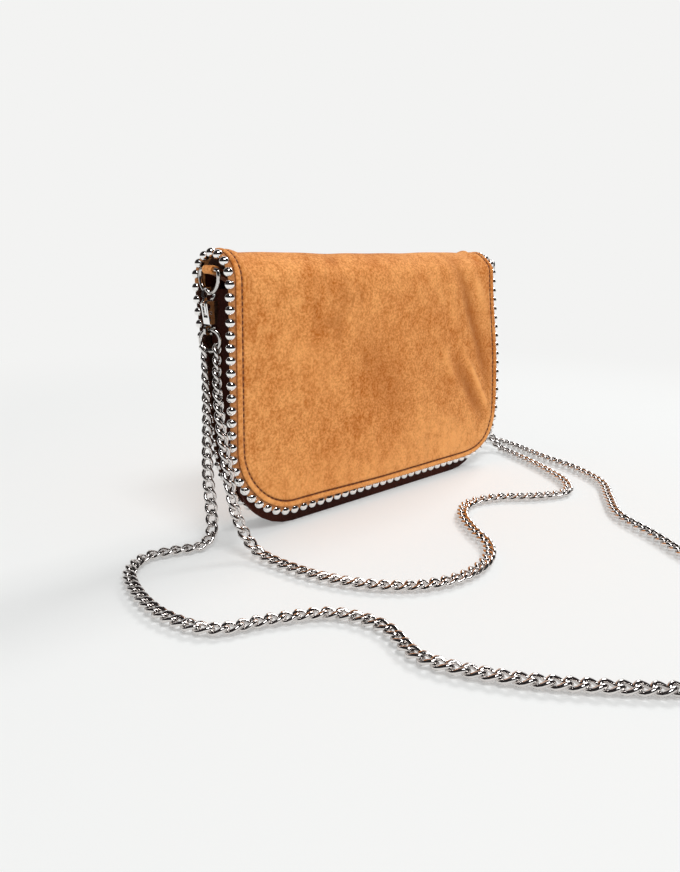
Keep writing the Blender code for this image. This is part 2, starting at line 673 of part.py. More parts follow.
# ---------------------------------------------------------------- the strap
def smooth_line(route, steps=12):
    """A smooth curve through every point of a route, tight where its points are close."""
    points = [Vector(point) / 1000 for point in route]
    points = [2 * points[0] - points[1]] + points + [2 * points[-1] - points[-2]]
    line = []
    for a, b, c, d in zip(points, points[1:], points[2:], points[3:]):
        t1 = math.sqrt((b - a).length)
        t2 = t1 + math.sqrt((c - b).length)
        t3 = t2 + math.sqrt((d - c).length)
        for k in range(steps):
            t = t1 + (t2 - t1) * k / steps
            ab, bc, cd = a.lerp(b, t / t1), b.lerp(c, (t - t1) / (t2 - t1)), c.lerp(d, (t - t2) / (t3 - t2))
            abc, bcd = ab.lerp(bc, t / t2), bc.lerp(cd, (t - t1) / (t3 - t1))
            point = abc.lerp(bcd, (t - t1) / (t2 - t1))
            point.z = max(point.z, CHAIN_ON_FLOOR)
            line.append(point)
    return line + [points[-2]]


def make_strand(name, route):
    line = smooth_line(route)
    count = math.ceil(length_of(line) / (CHAIN_STEP * CHAIN_DIAMETER))
    print(name, "is", round(length_of(line), 4), "m long, with", count + 1, "points")
    tube(name, along(line, count), CHAIN_DIAMETER / 2, STEEL)


make_flap()
make_back()
make_front_panel()
make_gussets_and_base()
make_pouch()
make_card_pocket()
make_snap()
for end_name, end_side in (("_left", -1), ("_right", 1)):
    make_tab(end_name, end_side)
    make_d_ring(end_name, end_side)
    make_hook(end_name, end_side)
    make_lever(end_name, end_side)
    make_spring(end_name, end_side)
    make_eye(end_name, end_side)
    make_strap_ring(end_name, end_side)
make_strand("chain_short", SHORT_STRAND)
make_strand("chain_long", LONG_STRAND)
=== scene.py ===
# %% [markdown]
# # A suede flap bag with ball chain edges and a chain strap
# The bag's plain solids are already made and packed. This script loads them, builds a
# detailed piece over each one, and gives every piece a finish made from shader nodes. The
# shapes of the soft pieces follow from a few sizes, the small repeated pieces come from
# Geometry Nodes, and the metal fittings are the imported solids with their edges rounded.
# Each new piece is put in the scene at the origin, rides on one of the bag's moving bodies,
# and stands for the plain solid that it hides, so two small helpers do just that.

import math

import bmesh
import bpy
import numpy as np
from mathutils import Matrix, Vector


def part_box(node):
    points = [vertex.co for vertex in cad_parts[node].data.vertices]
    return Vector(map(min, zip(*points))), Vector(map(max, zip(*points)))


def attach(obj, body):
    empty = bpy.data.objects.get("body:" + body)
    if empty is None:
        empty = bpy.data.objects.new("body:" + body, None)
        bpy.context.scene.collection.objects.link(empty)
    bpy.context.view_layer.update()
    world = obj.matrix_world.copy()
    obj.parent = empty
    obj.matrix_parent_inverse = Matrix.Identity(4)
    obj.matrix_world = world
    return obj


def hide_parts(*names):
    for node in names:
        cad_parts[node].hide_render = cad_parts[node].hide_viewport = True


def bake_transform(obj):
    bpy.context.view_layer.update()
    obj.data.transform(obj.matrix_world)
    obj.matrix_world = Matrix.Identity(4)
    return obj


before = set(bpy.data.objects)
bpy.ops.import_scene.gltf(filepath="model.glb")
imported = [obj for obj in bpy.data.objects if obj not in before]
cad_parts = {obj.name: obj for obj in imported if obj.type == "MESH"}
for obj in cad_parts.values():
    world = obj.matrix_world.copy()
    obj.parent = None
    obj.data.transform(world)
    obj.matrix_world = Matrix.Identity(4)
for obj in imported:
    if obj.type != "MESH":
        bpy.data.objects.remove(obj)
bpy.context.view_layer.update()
MM = 0.001


# %% Putting a piece in the scene
def put(name, data):
    made = bpy.data.objects.new(name, data)
    bpy.context.scene.collection.objects.link(made)
    return made


def belongs(piece, body, slot, *nodes):
    """Ties a piece to its body and hides the plain solids that it stands for. The slot is not used."""
    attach(piece, body)
    if nodes:
        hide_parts(*nodes)
    return piece


ENDS = ((-1, "_left"), (1, "_right"))
print("the bag's ends are", [end for side, end in ENDS])

# %% [markdown]
# ## Camera
# The camera looks from a little above the bag's top, with a normal lens. The lens is aimed
# slightly down and shifted, so that the bag's upright edges stay upright. A camera could
# also be set by hand in the viewport, but numbers give the same view on every run.

# %% Camera
VIEW_LINE = (0.680, 0.733)  # the way that the camera looks, along X and Y
TILT_DOWN = 6
camera = put("camera", bpy.data.cameras.new("camera"))
camera.data.lens = 31.83
camera.data.sensor_width = 36.0
camera.data.shift_y = -0.1317
camera.data.clip_start = 0.01
camera.location = (-0.3028, -0.3035, 0.1410)
camera.rotation_euler = (math.radians(90 - TILT_DOWN), 0, -math.atan2(*VIEW_LINE))
bpy.context.scene.camera = camera
bpy.context.scene.view_settings.view_transform = "Standard"
print("camera looks", [round(v, 3) for v in camera.rotation_euler.to_matrix() @ Vector((0, 0, -1))])

# %% [markdown]
# ## Writing shader maths as expressions
# A shader is a graph of small nodes, and its maths is tedious to wire by hand. A thin class
# around a socket makes an expression such as `1 - mask * 0.5` add its Math nodes by itself.
# Colours go through Mix and Vector Math, because a Math node turns a colour grey.


# %% Socket expressions
class Value:
    """A socket whose arithmetic adds Math nodes to its tree."""

    def __init__(self, finish, socket):
        self.finish, self.socket = finish, socket

    def _maths(self, operation, first, second=None, clamp=False):
        sockets = {0: first} if second is None else {0: first, 1: second}
        return self.finish.node("ShaderNodeMath", {"operation": operation, "use_clamp": clamp}, sockets)

    def __add__(self, other):
        return self._maths("ADD", self, other)

    def __sub__(self, other):
        return self._maths("SUBTRACT", self, other)

    def __rsub__(self, other):
        return self._maths("SUBTRACT", other, self)

    def __mul__(self, other):
        return self._maths("MULTIPLY", self, other)

    def clamp(self):
        return self._maths("ADD", self, 0.0, clamp=True)

    def between(self, low, high):
        """0 below low, 1 above high and smooth in the middle."""
        sockets = {"Value": self, "From Min": low, "From Max": high}
        return self.finish.node("ShaderNodeMapRange", {"interpolation_type": "SMOOTHSTEP"}, sockets)

    __radd__ = __add__
    __rmul__ = __mul__


class Finish:
    """A material being built, with its Principled shader."""

    def __init__(self, name):
        self.material = bpy.data.materials.new(name)
        self.material.use_nodes = True
        self.tree = self.material.node_tree
        self.shader = self.tree.nodes["Principled BSDF"]
        self.place = self.node("ShaderNodeTexCoord", {}, {}, "Object")

    def node(self, kind, settings, sockets, output=0):
        made = self.tree.nodes.new(kind)
        for key, value in settings.items():
            setattr(made, key, value)
        for key, value in sockets.items():
            self.feed(made.inputs[key], value)
        return Value(self, made.outputs[output])

    def feed(self, socket, value):
        if isinstance(value, Value):
            self.tree.links.new(value.socket, socket)
        else:
            socket.default_value = (*value, 1.0) if socket.type == "RGBA" and len(value) == 3 else value

    def stretched(self, x, y, z):
        return self.node("ShaderNodeVectorMath", {"operation": "MULTIPLY"}, {0: self.place, 1: (x, y, z)})

    def noise(self, scale, detail=2.0, roughness=0.5, where=None, distortion=0.0):
        sockets = {"Vector": where or self.place, "Scale": scale, "Detail": detail}
        sockets |= {"Roughness": roughness, "Distortion": distortion}
        return self.node("ShaderNodeTexNoise", {}, sockets)

    def cell_edges(self, scale):
        settings = {"feature": "DISTANCE_TO_EDGE"}
        return self.node("ShaderNodeTexVoronoi", settings, {"Vector": self.place, "Scale": scale})

    def wave(self, direction, scale):
        settings = {"bands_direction": direction}
        return self.node("ShaderNodeTexWave", settings, {"Vector": self.place, "Scale": scale})

    def mark(self, name):
        """A number stored on the mesh's points."""
        return self.node("ShaderNodeAttribute", {"attribute_name": name}, {}, "Fac")

    def blend(self, share, first, second):
        """From one colour to another."""
        return self.node("ShaderNodeMix", {"data_type": "RGBA"}, {0: share, 6: first, 7: second}, 2)

    def bump(self, height, distance, strength=1.0, under=None):
        sockets = {"Height": height, "Distance": distance, "Strength": strength}
        if under:
            sockets["Normal"] = under
        return self.node("ShaderNodeBump", {}, sockets)

    def done(self, **sockets):
        for key, value in sockets.items():
            self.feed(self.shader.inputs[key.replace("_", " ")], value)
        return self.material


def srgb(red, green, blue):
    """A screen colour from 0 to 255 as the linear colour that a shader wants."""
    shares = (red / 255, green / 255, blue / 255)
    return tuple(c / 12.92 if c <= 0.04045 else ((c + 0.055) / 1.055) ** 2.4 for c in shares)


print("suede tan is", [round(v, 3) for v in srgb(208, 134, 70)])

# %% [markdown]
# ## Suede
# Suede is leather sanded to a short nap. Its colour changes in soft patches, where the nap
# has been stroked one way or the other, over a fine grain of fibre ends. Three sizes of
# noise make the patches, the mottling and the grain. A single colour with sheen would look
# like felt, and a printed image of suede would repeat, so noise is the better way. Where a
# seam or a row of stitches pulls the skin down into a groove, painted shade makes it darker
# and redder. A crease gets a painted highlight on its ridge and painted shade in its hollow,
# and the front's foot, which faces up a little, gets a painted highlight too. The mesh stores
# the painted shade and the painted highlights as two marks on its points.


# %% Suede finish
def suede(name, light, dark, painted_shade_colour, patches=1.0):
    f = Finish(name)
    tall = f.stretched(1.0, 1.0, 0.75)
    patch = f.noise(26.0, 3.0, 0.55, tall, 0.5).between(0.30, 0.70)
    mottle = f.noise(130.0, 5.0, 0.68, tall, 0.2).between(0.32, 0.68)
    fibre = f.noise(850.0, 2.0, 0.6).between(0.30, 0.70)
    stroke = f.noise(48.0, 3.0, 0.6, f.stretched(1.0, 1.0, 0.5), 0.8).between(0.58, 0.74)
    tone = (patch * 0.30 * patches + mottle * 0.36 + fibre * 0.60 - 0.15).clamp()
    colour = f.blend(tone, dark, light)
    colour = f.blend(stroke * 0.4, colour, tuple(0.75 * c for c in dark))
    # Painted light from the creases: a highlight on each ridge and on the front's foot, and painted shade in
    # each hollow.
    nap = f.mark("nap")
    ridge_highlight, hollow_shade = (nap * mottle.between(-0.6, 0.6)).clamp(), (0.0 - nap).clamp()
    colour = f.blend(ridge_highlight * 0.78, colour, tuple(1.12 * c for c in light))
    colour = f.blend(hollow_shade * 0.75, colour, tuple(0.75 * c for c in dark))
    # Painted shade: the seam and stitch grooves, and the tabs' parts below the rim and behind the bar, take
    # the shade colour.
    colour = f.blend(f.mark("painted_shade").clamp(), colour, painted_shade_colour)
    grain = f.noise(900.0, 3.0, 0.65)
    normal = f.bump(fibre * 0.5 + grain, 0.00026, 0.7, f.bump(mottle, 0.0008, 0.3))
    return f.done(
        Base_Color=colour,
        Roughness=0.93 - tone * 0.08,
        Normal=normal,
        Specular_IOR_Level=0.15,
        Sheen_Weight=0.25,
        Sheen_Roughness=0.45,
        Sheen_Tint=(1.0, 0.78, 0.55, 1.0),
    )


# The third colour is the painted shade of grooves and shaded parts.
LIGHT, DARK, PAINTED_SHADE_COLOUR = srgb(255, 180, 107), srgb(191, 103, 30), srgb(96, 36, 8)
suede_finish = suede("suede", LIGHT, DARK, PAINTED_SHADE_COLOUR)
tape_finish = suede("suede_tape", srgb(226, 158, 104), srgb(176, 112, 60), PAINTED_SHADE_COLOUR, 0.6)
# The back's tape is a darker copy of the tape's suede: painted shade, as the back's edge lies in shadow.
painted_shade_tape_finish = suede("shaded_tape", srgb(74, 42, 27), srgb(42, 20, 12), srgb(24, 8, 4), 0.6)
print("suede and its tapes")

# %% [markdown]
# ## Leather, lining and thread
# The pocket's walls are a dark smooth leather with a fine pebble grain: cell edges pressed
# into a slightly glossy surface. The lining is a plain weave, so two waves cross each other.
# Thread is twisted, so its stripes run across it. Real weave could be modelled strand by
# strand, but at this size a bump says the same with far fewer faces.


# %% Leather, lining and thread finishes
def leather():
    f = Finish("dark_leather")
    pebble = f.cell_edges(620.0).between(0.0, 0.22)
    pore = f.noise(260.0, 4.0, 0.6)
    wear_and_shade = f.noise(30.0, 3.0, 0.5).between(0.4, 0.75)
    colour = f.blend(wear_and_shade * 0.5 + pore * 0.2, srgb(50, 17, 9), srgb(82, 34, 19))
    normal = f.bump(pebble + pore * 0.5, 0.00015, 0.5)
    rough = 0.70 - pebble * 0.14 + wear_and_shade * 0.08
    return f.done(Base_Color=colour, Roughness=rough, Normal=normal, Specular_IOR_Level=0.12)


def weave():
    f = Finish("lining")
    along = f.wave("X", 420.0)
    across = f.wave("Z", 420.0)
    slub = f.noise(90.0, 3.0, 0.6, f.stretched(1.0, 1.0, 6.0))
    cloth = along * across
    colour = f.blend(cloth * 0.6 + slub * 0.4, srgb(58, 34, 23), srgb(104, 66, 44))
    return f.done(Base_Color=colour, Roughness=0.85 - cloth * 0.12, Normal=f.bump(cloth, 0.0001, 0.5))


def thread():
    f = Finish("thread")
    twist = f.wave("DIAGONAL", 900.0)
    tone = f.noise(200.0, 2.0)
    colour = f.blend(tone * 0.7 + twist * 0.3, srgb(78, 32, 10), srgb(128, 64, 26))
    return f.done(Base_Color=colour, Roughness=0.7, Normal=f.bump(twist, 0.00008, 0.6))


leather_finish, lining_finish, thread_finish = leather(), weave(), thread()
print("leather, lining and thread")

# %% [markdown]
# ## Polished steel
# The balls, links and fittings are nickel-plated and polished, so nearly all of their look
# is the room they mirror. Faint rubbing makes the mirror a little uneven: roughness varies
# from place to place, and a very low bump bends the reflections. Painted-on highlights would
# stay still when the bag moves, so the shine is left to the shader and the room.


# %% Steel finish
def steel(name, tint, rough, rub):
    f = Finish(name)
    smear = f.noise(70.0, 4.0, 0.6).between(0.35, 0.8)
    scratch = f.noise(700.0, 3.0, 0.7, f.stretched(1.0, 1.0, 8.0))
    colour = f.blend(smear, tint, tuple(0.9 * c for c in tint))
    normal = f.bump(scratch, 0.00002, 0.25)
    return f.done(Base_Color=colour, Metallic=1.0, Roughness=smear * rub + rough, Normal=normal)


bead_finish = steel("polished_steel", (0.93, 0.915, 0.90), 0.045, 0.06)
chain_finish = steel("chain_steel", (0.76, 0.725, 0.705), 0.09, 0.10)
# The rings and swivel loops are the same polished steel as the balls, with a darker tint: painted shade for
# the dark room that they mirror.
shaded_ring_finish = steel("shaded_ring_steel", (0.62, 0.595, 0.575), 0.06, 0.06)
print("steel, polished for the balls, duller for the links and darker for the rings")

# %% [markdown]
# ## The strap's two strands
# Both strands are curb chain: oval links, each twisted along its length so that the chain
# lies flat. A strand leaves the round ring, hangs to the floor, lies there in loose bends
# and climbs to the ring at the other end. Its route is a smooth curve through the points
# where it hangs and rests, and one link sits every pitch along it. Links joined in a physics
# simulation would also find their rest, but not where the strand is wanted.

# %% Routes of the strands
CHAIN_PITCH = 5.3 * MM
SHORT_ROUTE = (  # in millimetres, from the left ring to the right one
    (-102.75, -4.0, 88.4), (-105, -7, 76), (-108.4, -13.6, 60), (-109.4, -20, 40), (-109.4, -27, 18),
    (-107, -36.5, 6), (-105.2, -52, 3.3), (-101, -73, 3.3), (-91, -93, 3.3), (-76, -107.5, 3.3),
    (-57, -113.5, 3.3), (-38, -111, 3.3), (-23, -101, 3.3), (-12, -83.5, 3.3), (1, -67.5, 3.3),
    (17, -60, 3.3), (34, -64, 3.3), (53, -78, 3.3), (70, -84.5, 3.3), (84, -76.5, 3.3),
    (96, -58.5, 3.3), (106, -38, 3.3), (112.5, -22, 3.3), (117.3, -8, 3.7), (117.6, 0.5, 10.5),
    (114, 2.5, 23), (109.6, -2.6, 46), (105, -5, 72), (102.75, -4.0, 88.4),
)  # fmt: skip
LONG_ROUTE = (
    (-106.25, 2.0, 88.4), (-105.3, 2.1, 60), (-106.3, 0.5, 29), (-107.2, -3, 15), (-111, -8.5, 6),
    (-119, -12.2, 3.3), (-131, -9, 3.3), (-143, -6.5, 3.3), (-156, -15.5, 3.3), (-164, -38, 3.3),
    (-165, -61, 3.3), (-157.5, -80, 3.3), (-137, -89, 3.3), (-117.5, -101.5, 3.3), (-111.5, -120, 3.3),
    (-117, -143, 3.3), (-107, -168, 3.3), (-80, -202, 3.3), (-58, -223, 3.3), (-37, -254, 3.3),
    (-6, -280, 3.3), (32, -287, 3.3), (62, -268, 3.3), (67, -234, 3.3), (45, -208, 3.3),
    (29, -189, 3.3), (32, -169, 3.3), (45, -146, 3.3), (58, -122, 3.3), (79, -105.5, 3.3),
    (100, -89.5, 3.3), (114, -64, 3.3), (121.5, -36, 3.3), (130.5, -10, 3.3), (134, 8, 3.3),
    (129, 23.5, 4), (117.5, 26.5, 11), (110.8, 17, 26), (108.4, 6.5, 52), (106.25, 2.0, 88.4),
)  # fmt: skip


def smooth_line(route, steps=12):
    """A smooth curve through every point, tight where its points are close together."""
    points = [Vector(point) * MM for point in route]
    points = [2 * points[0] - points[1]] + points + [2 * points[-1] - points[-2]]
    line = []
    for a, b, c, d in zip(points, points[1:], points[2:], points[3:]):
        t1 = math.sqrt((b - a).length)
        t2 = t1 + math.sqrt((c - b).length)
        t3 = t2 + math.sqrt((d - c).length)
        for k in range(steps):
            t = t1 + (t2 - t1) * k / steps
            ab, bc, cd = a.lerp(b, t / t1), b.lerp(c, (t - t1) / (t2 - t1)), c.lerp(d, (t - t2) / (t3 - t2))
            abc, bcd = ab.lerp(bc, t / t2), bc.lerp(cd, (t - t1) / (t3 - t1))
            line.append(abc.lerp(bcd, (t - t1) / (t2 - t1)))
    return line + [points[-2]]


def even(line, count):
    """Points at equal steps along a line, ends included."""
    line = np.array([tuple(point) for point in line])
    reach = np.r_[0, np.cumsum(np.linalg.norm(np.diff(line, axis=0), axis=1))]
    where = np.linspace(0, reach[-1], count + 1)
    return np.stack([np.interp(where, reach, line[:, k]) for k in range(3)], 1), float(reach[-1])


RESTING = 2.68 * MM  # the height of a flat link's middle on the floor
SETTLE = 0.6 * MM  # a flat chain lies this much lower than a round cord as wide
ROUND_RING = Vector((0, 0, 0.9 * MM))  # the last link's end goes this far up, round its ring


def laid(route):
    """The route of a flat chain, which lies lower than a round cord and ends around its rings."""
    line = smooth_line(route)
    for point in line:
        low = max(0.0, min(1.0, (20 * MM - point.z) / (16 * MM)))
        point.z = max(point.z - SETTLE * low, RESTING)
    return [line[0] + ROUND_RING] + line + [line[-1] + ROUND_RING]


routes = {"chain_short": laid(SHORT_ROUTE), "chain_long": laid(LONG_ROUTE)}
for name, line in routes.items():
    print(name, "is", round(even(line, 2)[1], 4), "m long")

# %% [markdown]
# ## How each link is turned
# A flat chain needs a third direction besides its line and its width. On the floor that is
# straight up. It is carried along the line without twisting, and where a strand hangs, it
# turns a little more, because a hanging chain is free to turn on its ring. A curve's own
# tilt could do this, but it jumps where the curve turns from hanging to lying.


# %% Frames along a line
def carried(points, start, normal):
    """A direction carried both ways along the line from one point, without twist."""
    steps = np.gradient(points, axis=0)
    tangents = steps / np.linalg.norm(steps, axis=1)[:, None]
    normals = np.zeros_like(points)

    def settle(k, before):
        flat = before - tangents[k] * (before @ tangents[k])
        normals[k] = flat / np.linalg.norm(flat)

    settle(start, np.array(normal, float))
    for k in range(start + 1, len(points)):
        settle(k, normals[k - 1])
    for k in range(start - 1, -1, -1):
        settle(k, normals[k + 1])
    return tangents, normals


def point_mesh(name, points, tangents, normals):
    """Loose points, each with the turn that the piece on it takes."""
    mesh = bpy.data.meshes.new(name)
    mesh.from_pydata([tuple(p) for p in points], [], [])
    turns = []
    for t, n in zip(tangents, normals):
        side = np.cross(n, t)
        turns.extend(Matrix((tuple(t), tuple(side), tuple(n))).transposed().to_euler())
    mesh.attributes.new("turn", "FLOAT_VECTOR", "POINT").data.foreach_set("vector", turns)
    return put(name, mesh)


def strand_points(name, line, twist_left, twist_right):
    """One point for each link. The twists, in degrees, are those at the two hanging ends."""
    count = round(even(line, 2)[1] / CHAIN_PITCH)
    points, _ = even(line, count)
    from_middle = np.abs(np.arange(len(points)) - len(points) / 2)
    floor_at = int(np.argmin(points[:, 2] + from_middle * 1e-6))
    tangents, normals = carried(points, floor_at, (0, 0, 1))
    for k in range(len(points)):
        high = max(0.0, min(1.0, (points[k][2] - 0.02) / 0.07))
        angle = math.radians(twist_left if k < floor_at else twist_right) * high
        spun = Matrix.Rotation(angle, 3, Vector(tangents[k])) @ Vector(normals[k])
        normals[k] = np.array(spun)
    return point_mesh(name + "_points", points, tangents, normals), count + 1


strand_meshes = {
    "chain_short": strand_points("chain_short", routes["chain_short"], -20, 30),
    "chain_long": strand_points("chain_long", routes["chain_long"], 75, 40),
}
print("links:", {name: count for name, (made, count) in strand_meshes.items()})

# %% [markdown]
# ## Geometry Nodes for everything that repeats
# A link, a ball and a stitch are each one small shape put on many points. The node tree
# makes the shape from its named sizes, puts it on every point, turns it, makes the copies
# real and gives them their finish. Array modifiers can repeat a shape too, but they bend it
# along a curve, and a ball has to stay round. The tree is run once, and its mesh is kept.


# %% A node tree with named inputs
class Grower:
    """A Geometry Nodes tree that puts a small shape on every point of a mesh."""

    def __init__(self, name, sizes):
        self.tree = bpy.data.node_groups.new(name, "GeometryNodeTree")
        face = self.tree.interface
        face.new_socket("Geometry", in_out="INPUT", socket_type="NodeSocketGeometry")
        for label in sizes:
            face.new_socket(label, in_out="INPUT", socket_type="NodeSocketFloat")
        face.new_socket("Finish", in_out="INPUT", socket_type="NodeSocketMaterial")
        face.new_socket("Geometry", in_out="OUTPUT", socket_type="NodeSocketGeometry")
        self.into = self.tree.nodes.new("NodeGroupInput")

    def size(self, label):
        return self.into.outputs[label]

    def add(self, kind, settings=None, sockets=None, output=0):
        made = self.tree.nodes.new(kind)
        for key, value in (settings or {}).items():
            setattr(made, key, value)
        for key, value in (sockets or {}).items():
            if isinstance(value, bpy.types.NodeSocket):
                self.tree.links.new(value, made.inputs[key])
            else:
                made.inputs[key].default_value = value
        return made.outputs[output]

    def maths(self, operation, first, second):
        return self.add("ShaderNodeMath", {"operation": operation}, {0: first, 1: second})

    def vector(self, x, y, z):
        return self.add("ShaderNodeCombineXYZ", None, {"X": x, "Y": y, "Z": z})

    def circle(self, sides, radius):
        sockets = {"Resolution": sides, "Radius": radius}
        return self.add("GeometryNodeCurvePrimitiveCircle", {"mode": "RADIUS"}, sockets, "Curve")

    def ball(self, segments, rings, radius):
        sockets = {"Segments": segments, "Rings": rings, "Radius": radius}
        return self.add("GeometryNodeMeshUVSphere", None, sockets, "Mesh")

    def repeat(self, shape):
        """Ends the tree: the shape on every point, turned, real, smooth and finished."""
        stored = {"data_type": "FLOAT_VECTOR"}
        turn = self.add("GeometryNodeInputNamedAttribute", stored, {"Name": "turn"})
        sockets = {"Points": self.size("Geometry"), "Instance": shape, "Rotation": turn}
        copies = self.add("GeometryNodeInstanceOnPoints", None, sockets)
        real = self.add("GeometryNodeRealizeInstances", None, {"Geometry": copies})
        even_shade = self.add("GeometryNodeSetShadeSmooth", None, {"Geometry": real})
        sockets = {"Geometry": even_shade, "Material": self.size("Finish")}
        done = self.add("GeometryNodeSetMaterial", None, sockets)
        out = self.tree.nodes.new("NodeGroupOutput")
        self.tree.links.new(done, out.inputs["Geometry"])
        return self.tree


def grown(points, tree, name, finish, **sizes):
    """Runs a tree on a mesh of points and keeps the result as a plain mesh."""
    step = points.modifiers.new("grow", "NODES")
    step.node_group = tree
    wanted = {"Finish": finish} | {key.replace("_", " "): value for key, value in sizes.items()}
    for socket in tree.interface.items_tree:
        if socket.in_out == "INPUT" and socket.name in wanted:
            step[socket.identifier] = wanted[socket.name]
    bpy.context.view_layer.update()
    graph = bpy.context.evaluated_depsgraph_get()
    mesh = bpy.data.meshes.new_from_object(points.evaluated_get(graph))
    bpy.data.objects.remove(points)
    mesh.materials.clear()
    mesh.materials.append(finish)
    return put(name, mesh)


print("a tree's sizes are set by name")

# %% [markdown]
# ## The curb link
# The link starts as a circle. It is stretched to an oval, its two ends are turned opposite
# ways about its length, and a round wire is swept along it. Each link then lies in the next
# one's twist. A modelled link would look the same, but here its sizes stay easy to change.


# %% Curb chain
def curb_link_tree():
    g = Grower("curb_chain", ["Half Length", "Half Width", "Wire", "Twist"])
    ring = g.circle(16, 1.0)
    stretch = g.vector(g.size("Half Length"), g.size("Half Width"), 1.0)
    here = g.add("GeometryNodeInputPosition")
    oval = g.add("ShaderNodeVectorMath", {"operation": "MULTIPLY"}, {0: here, 1: stretch})
    along = g.add("ShaderNodeSeparateXYZ", None, {"Vector": here}, "X")
    angle = g.maths("MULTIPLY", along, g.size("Twist"))
    sockets = {"Vector": oval, "Center": (0, 0, 0), "Angle": angle}
    twisted = g.add("ShaderNodeVectorRotate", {"rotation_type": "X_AXIS"}, sockets)
    link = g.add("GeometryNodeSetPosition", None, {"Geometry": ring, "Position": twisted})
    section = g.circle(7, g.size("Wire"))
    body = g.add("GeometryNodeCurveToMesh", None, {"Curve": link, "Profile Curve": section})
    return g.repeat(body)


curb_tree = curb_link_tree()
LINK = {"Half_Length": 3.6 * MM, "Half_Width": 2.3 * MM, "Wire": 0.91 * MM}
LINK["Twist"] = math.radians(-48)
for name, (points, count) in strand_meshes.items():
    strand = grown(points, curb_tree, name + "_links", chain_finish, **LINK)
    belongs(strand, "bag", "polished_steel", name)
    path, length = even(routes[name], count * 2)
    print(name, len(strand.data.polygons), "faces")

# %% [markdown]
# ## The shapes of the two suede sheets
# The flap rises from the back, folds over a half ellipse and falls down the front, and its
# lower corners are round. The back leans a little and has the same round corners. Both
# outlines are described by the line of balls at their edge: a point of a sheet is then a
# place along that line, a distance in from it, and a height off the sheet's middle. A box
# with loop cuts could be pulled to this shape, but its seams would drift off the balls.

# %% Sizes of the bag
low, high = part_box("back_bead_trim")
front_low, front_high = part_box("flap_bead_trim")
BEAD = 2.4 * MM
HALF = 102 * MM
FRONT_Y, TOP_Y, FOOT_Y = -14.1 * MM, 14.1 * MM, 3.3 * MM
ARCH_BASE, ARCH_RISE = 121.8 * MM, 14.8 * MM
FLAP_FOOT, CORNER = 7.6 * MM, 36 * MM
LEAN = math.atan2(TOP_Y - FOOT_Y, ARCH_BASE - BEAD)
BACK_LENGTH = math.hypot(TOP_Y - FOOT_Y, ARCH_BASE - BEAD)


def ease(share):
    """0 up to 0, 1 from 1, and smooth between them."""
    share = max(0.0, min(1.0, share))
    return share * share * (3 - 2 * share)


print("the balls span", round(high.x - low.x, 4), "m")
print("the flap's balls are", round(front_high.z - front_low.z, 4), "m high")


# %% Places on the two sheets
CREST = math.pi / 2  # the angle of the fold's highest line
DRAWN_IN = 0.056  # how much narrower the flap's right end is at the fold, as a share
SINKS, SLOPES = 2.95 * MM, 0.020  # how far the fold sinks in the middle, and more for each metre of x
PULLED_IN, PULLED_AT_FOOT = 0.032, 0.022  # how much narrower the back is, as shares


def settled(point):
    """The fold sinks a little under its own weight, most at its right end, which is also drawn in."""
    if point.x > 0:
        towards_front = 0.45 + 0.55 * ease((2 * MM - point.y) / (14 * MM))
        point.x *= 1 - DRAWN_IN * towards_front * ease((point.z - 58 * MM) / (66 * MM))
    point.z -= (SINKS + SLOPES * point.x) * ease((point.z - 118 * MM) / (19 * MM))
    return point


def on_back(x, up, face):
    """A point of the leaning back, whose sides are drawn in lower down, where the gussets pull."""
    pulled = PULLED_IN * ease((BACK_LENGTH - up) / (70 * MM))
    x *= 1 - pulled - PULLED_AT_FOOT * ease((60 * MM - up) / (50 * MM))
    y = FOOT_Y + up * math.sin(LEAN) + face * math.cos(LEAN)
    return settled(Vector((x, y, BEAD + up * math.cos(LEAN) - face * math.sin(LEAN))))


def flap_place(kind, v, side, inward, face):
    """A point of the flap. kind is arch, side, corner or foot, and v says how far along that."""
    if kind == "arch":
        x, depth, rise = side * (HALF - inward), TOP_Y + face, ARCH_RISE + face
        return settled(Vector((x, depth * math.cos(v), ARCH_BASE + rise * math.sin(v))))
    if kind == "side":
        return settled(Vector((side * (HALF - inward), FRONT_Y - face, v)))
    if kind == "corner":
        fuller = 2.9 * MM if side > 0 else -0.8 * MM  # the right corner is squarer than the left one
        r = CORNER - inward + fuller * math.sin(2 * v) ** 2
        x = side * (HALF - CORNER + r * math.cos(v))
        return Vector((x, FRONT_Y - face, FLAP_FOOT + CORNER - r * math.sin(v)))
    return Vector((v, FRONT_Y - face, FLAP_FOOT + inward))


def back_place(kind, v, side, inward, face):
    """A point of the back, in the same way."""
    if kind == "side":
        return on_back(side * (HALF - inward), v, face)
    if kind == "corner":
        r = CORNER - inward
        return on_back(side * (HALF - CORNER + r * math.cos(v)), CORNER - r * math.sin(v), face)
    if kind == "arch":
        return flap_place(kind, v, side, inward, face)
    return on_back(v, inward, face)


top_left = flap_place("arch", CREST, -1, 0.0, 0.0)
print("the fold's left end is", round(top_left.z / MM, 1), "mm high")


# %% The outlines as lists of places
def steps(kind, start, end, count, last=False):
    return [(kind, start + (end - start) * k / count) for k in range(count + (1 if last else 0))]


FOLD_UP = 0.24  # the angle of the arch where the fold strip ends
FOLD_DOWN = 3.0 * MM
CORNER_TURN = math.pi / 2
FOOT_STEPS = 108
flap_line = steps("arch", FOLD_UP, math.pi, 30) + steps("side", ARCH_BASE, FLAP_FOOT + CORNER, 44)
flap_line += steps("corner", 0, CORNER_TURN, 26, True)
back_line = steps("side", BACK_LENGTH - FOLD_DOWN, CORNER, 40) + steps("corner", 0, CORNER_TURN, 26, True)
fold_line = steps("side", BACK_LENGTH - FOLD_DOWN, BACK_LENGTH, 5) + steps("arch", 0, FOLD_UP, 6, True)
foot_line = steps("foot", -(HALF - CORNER), HALF - CORNER, FOOT_STEPS, True)[1:-1]


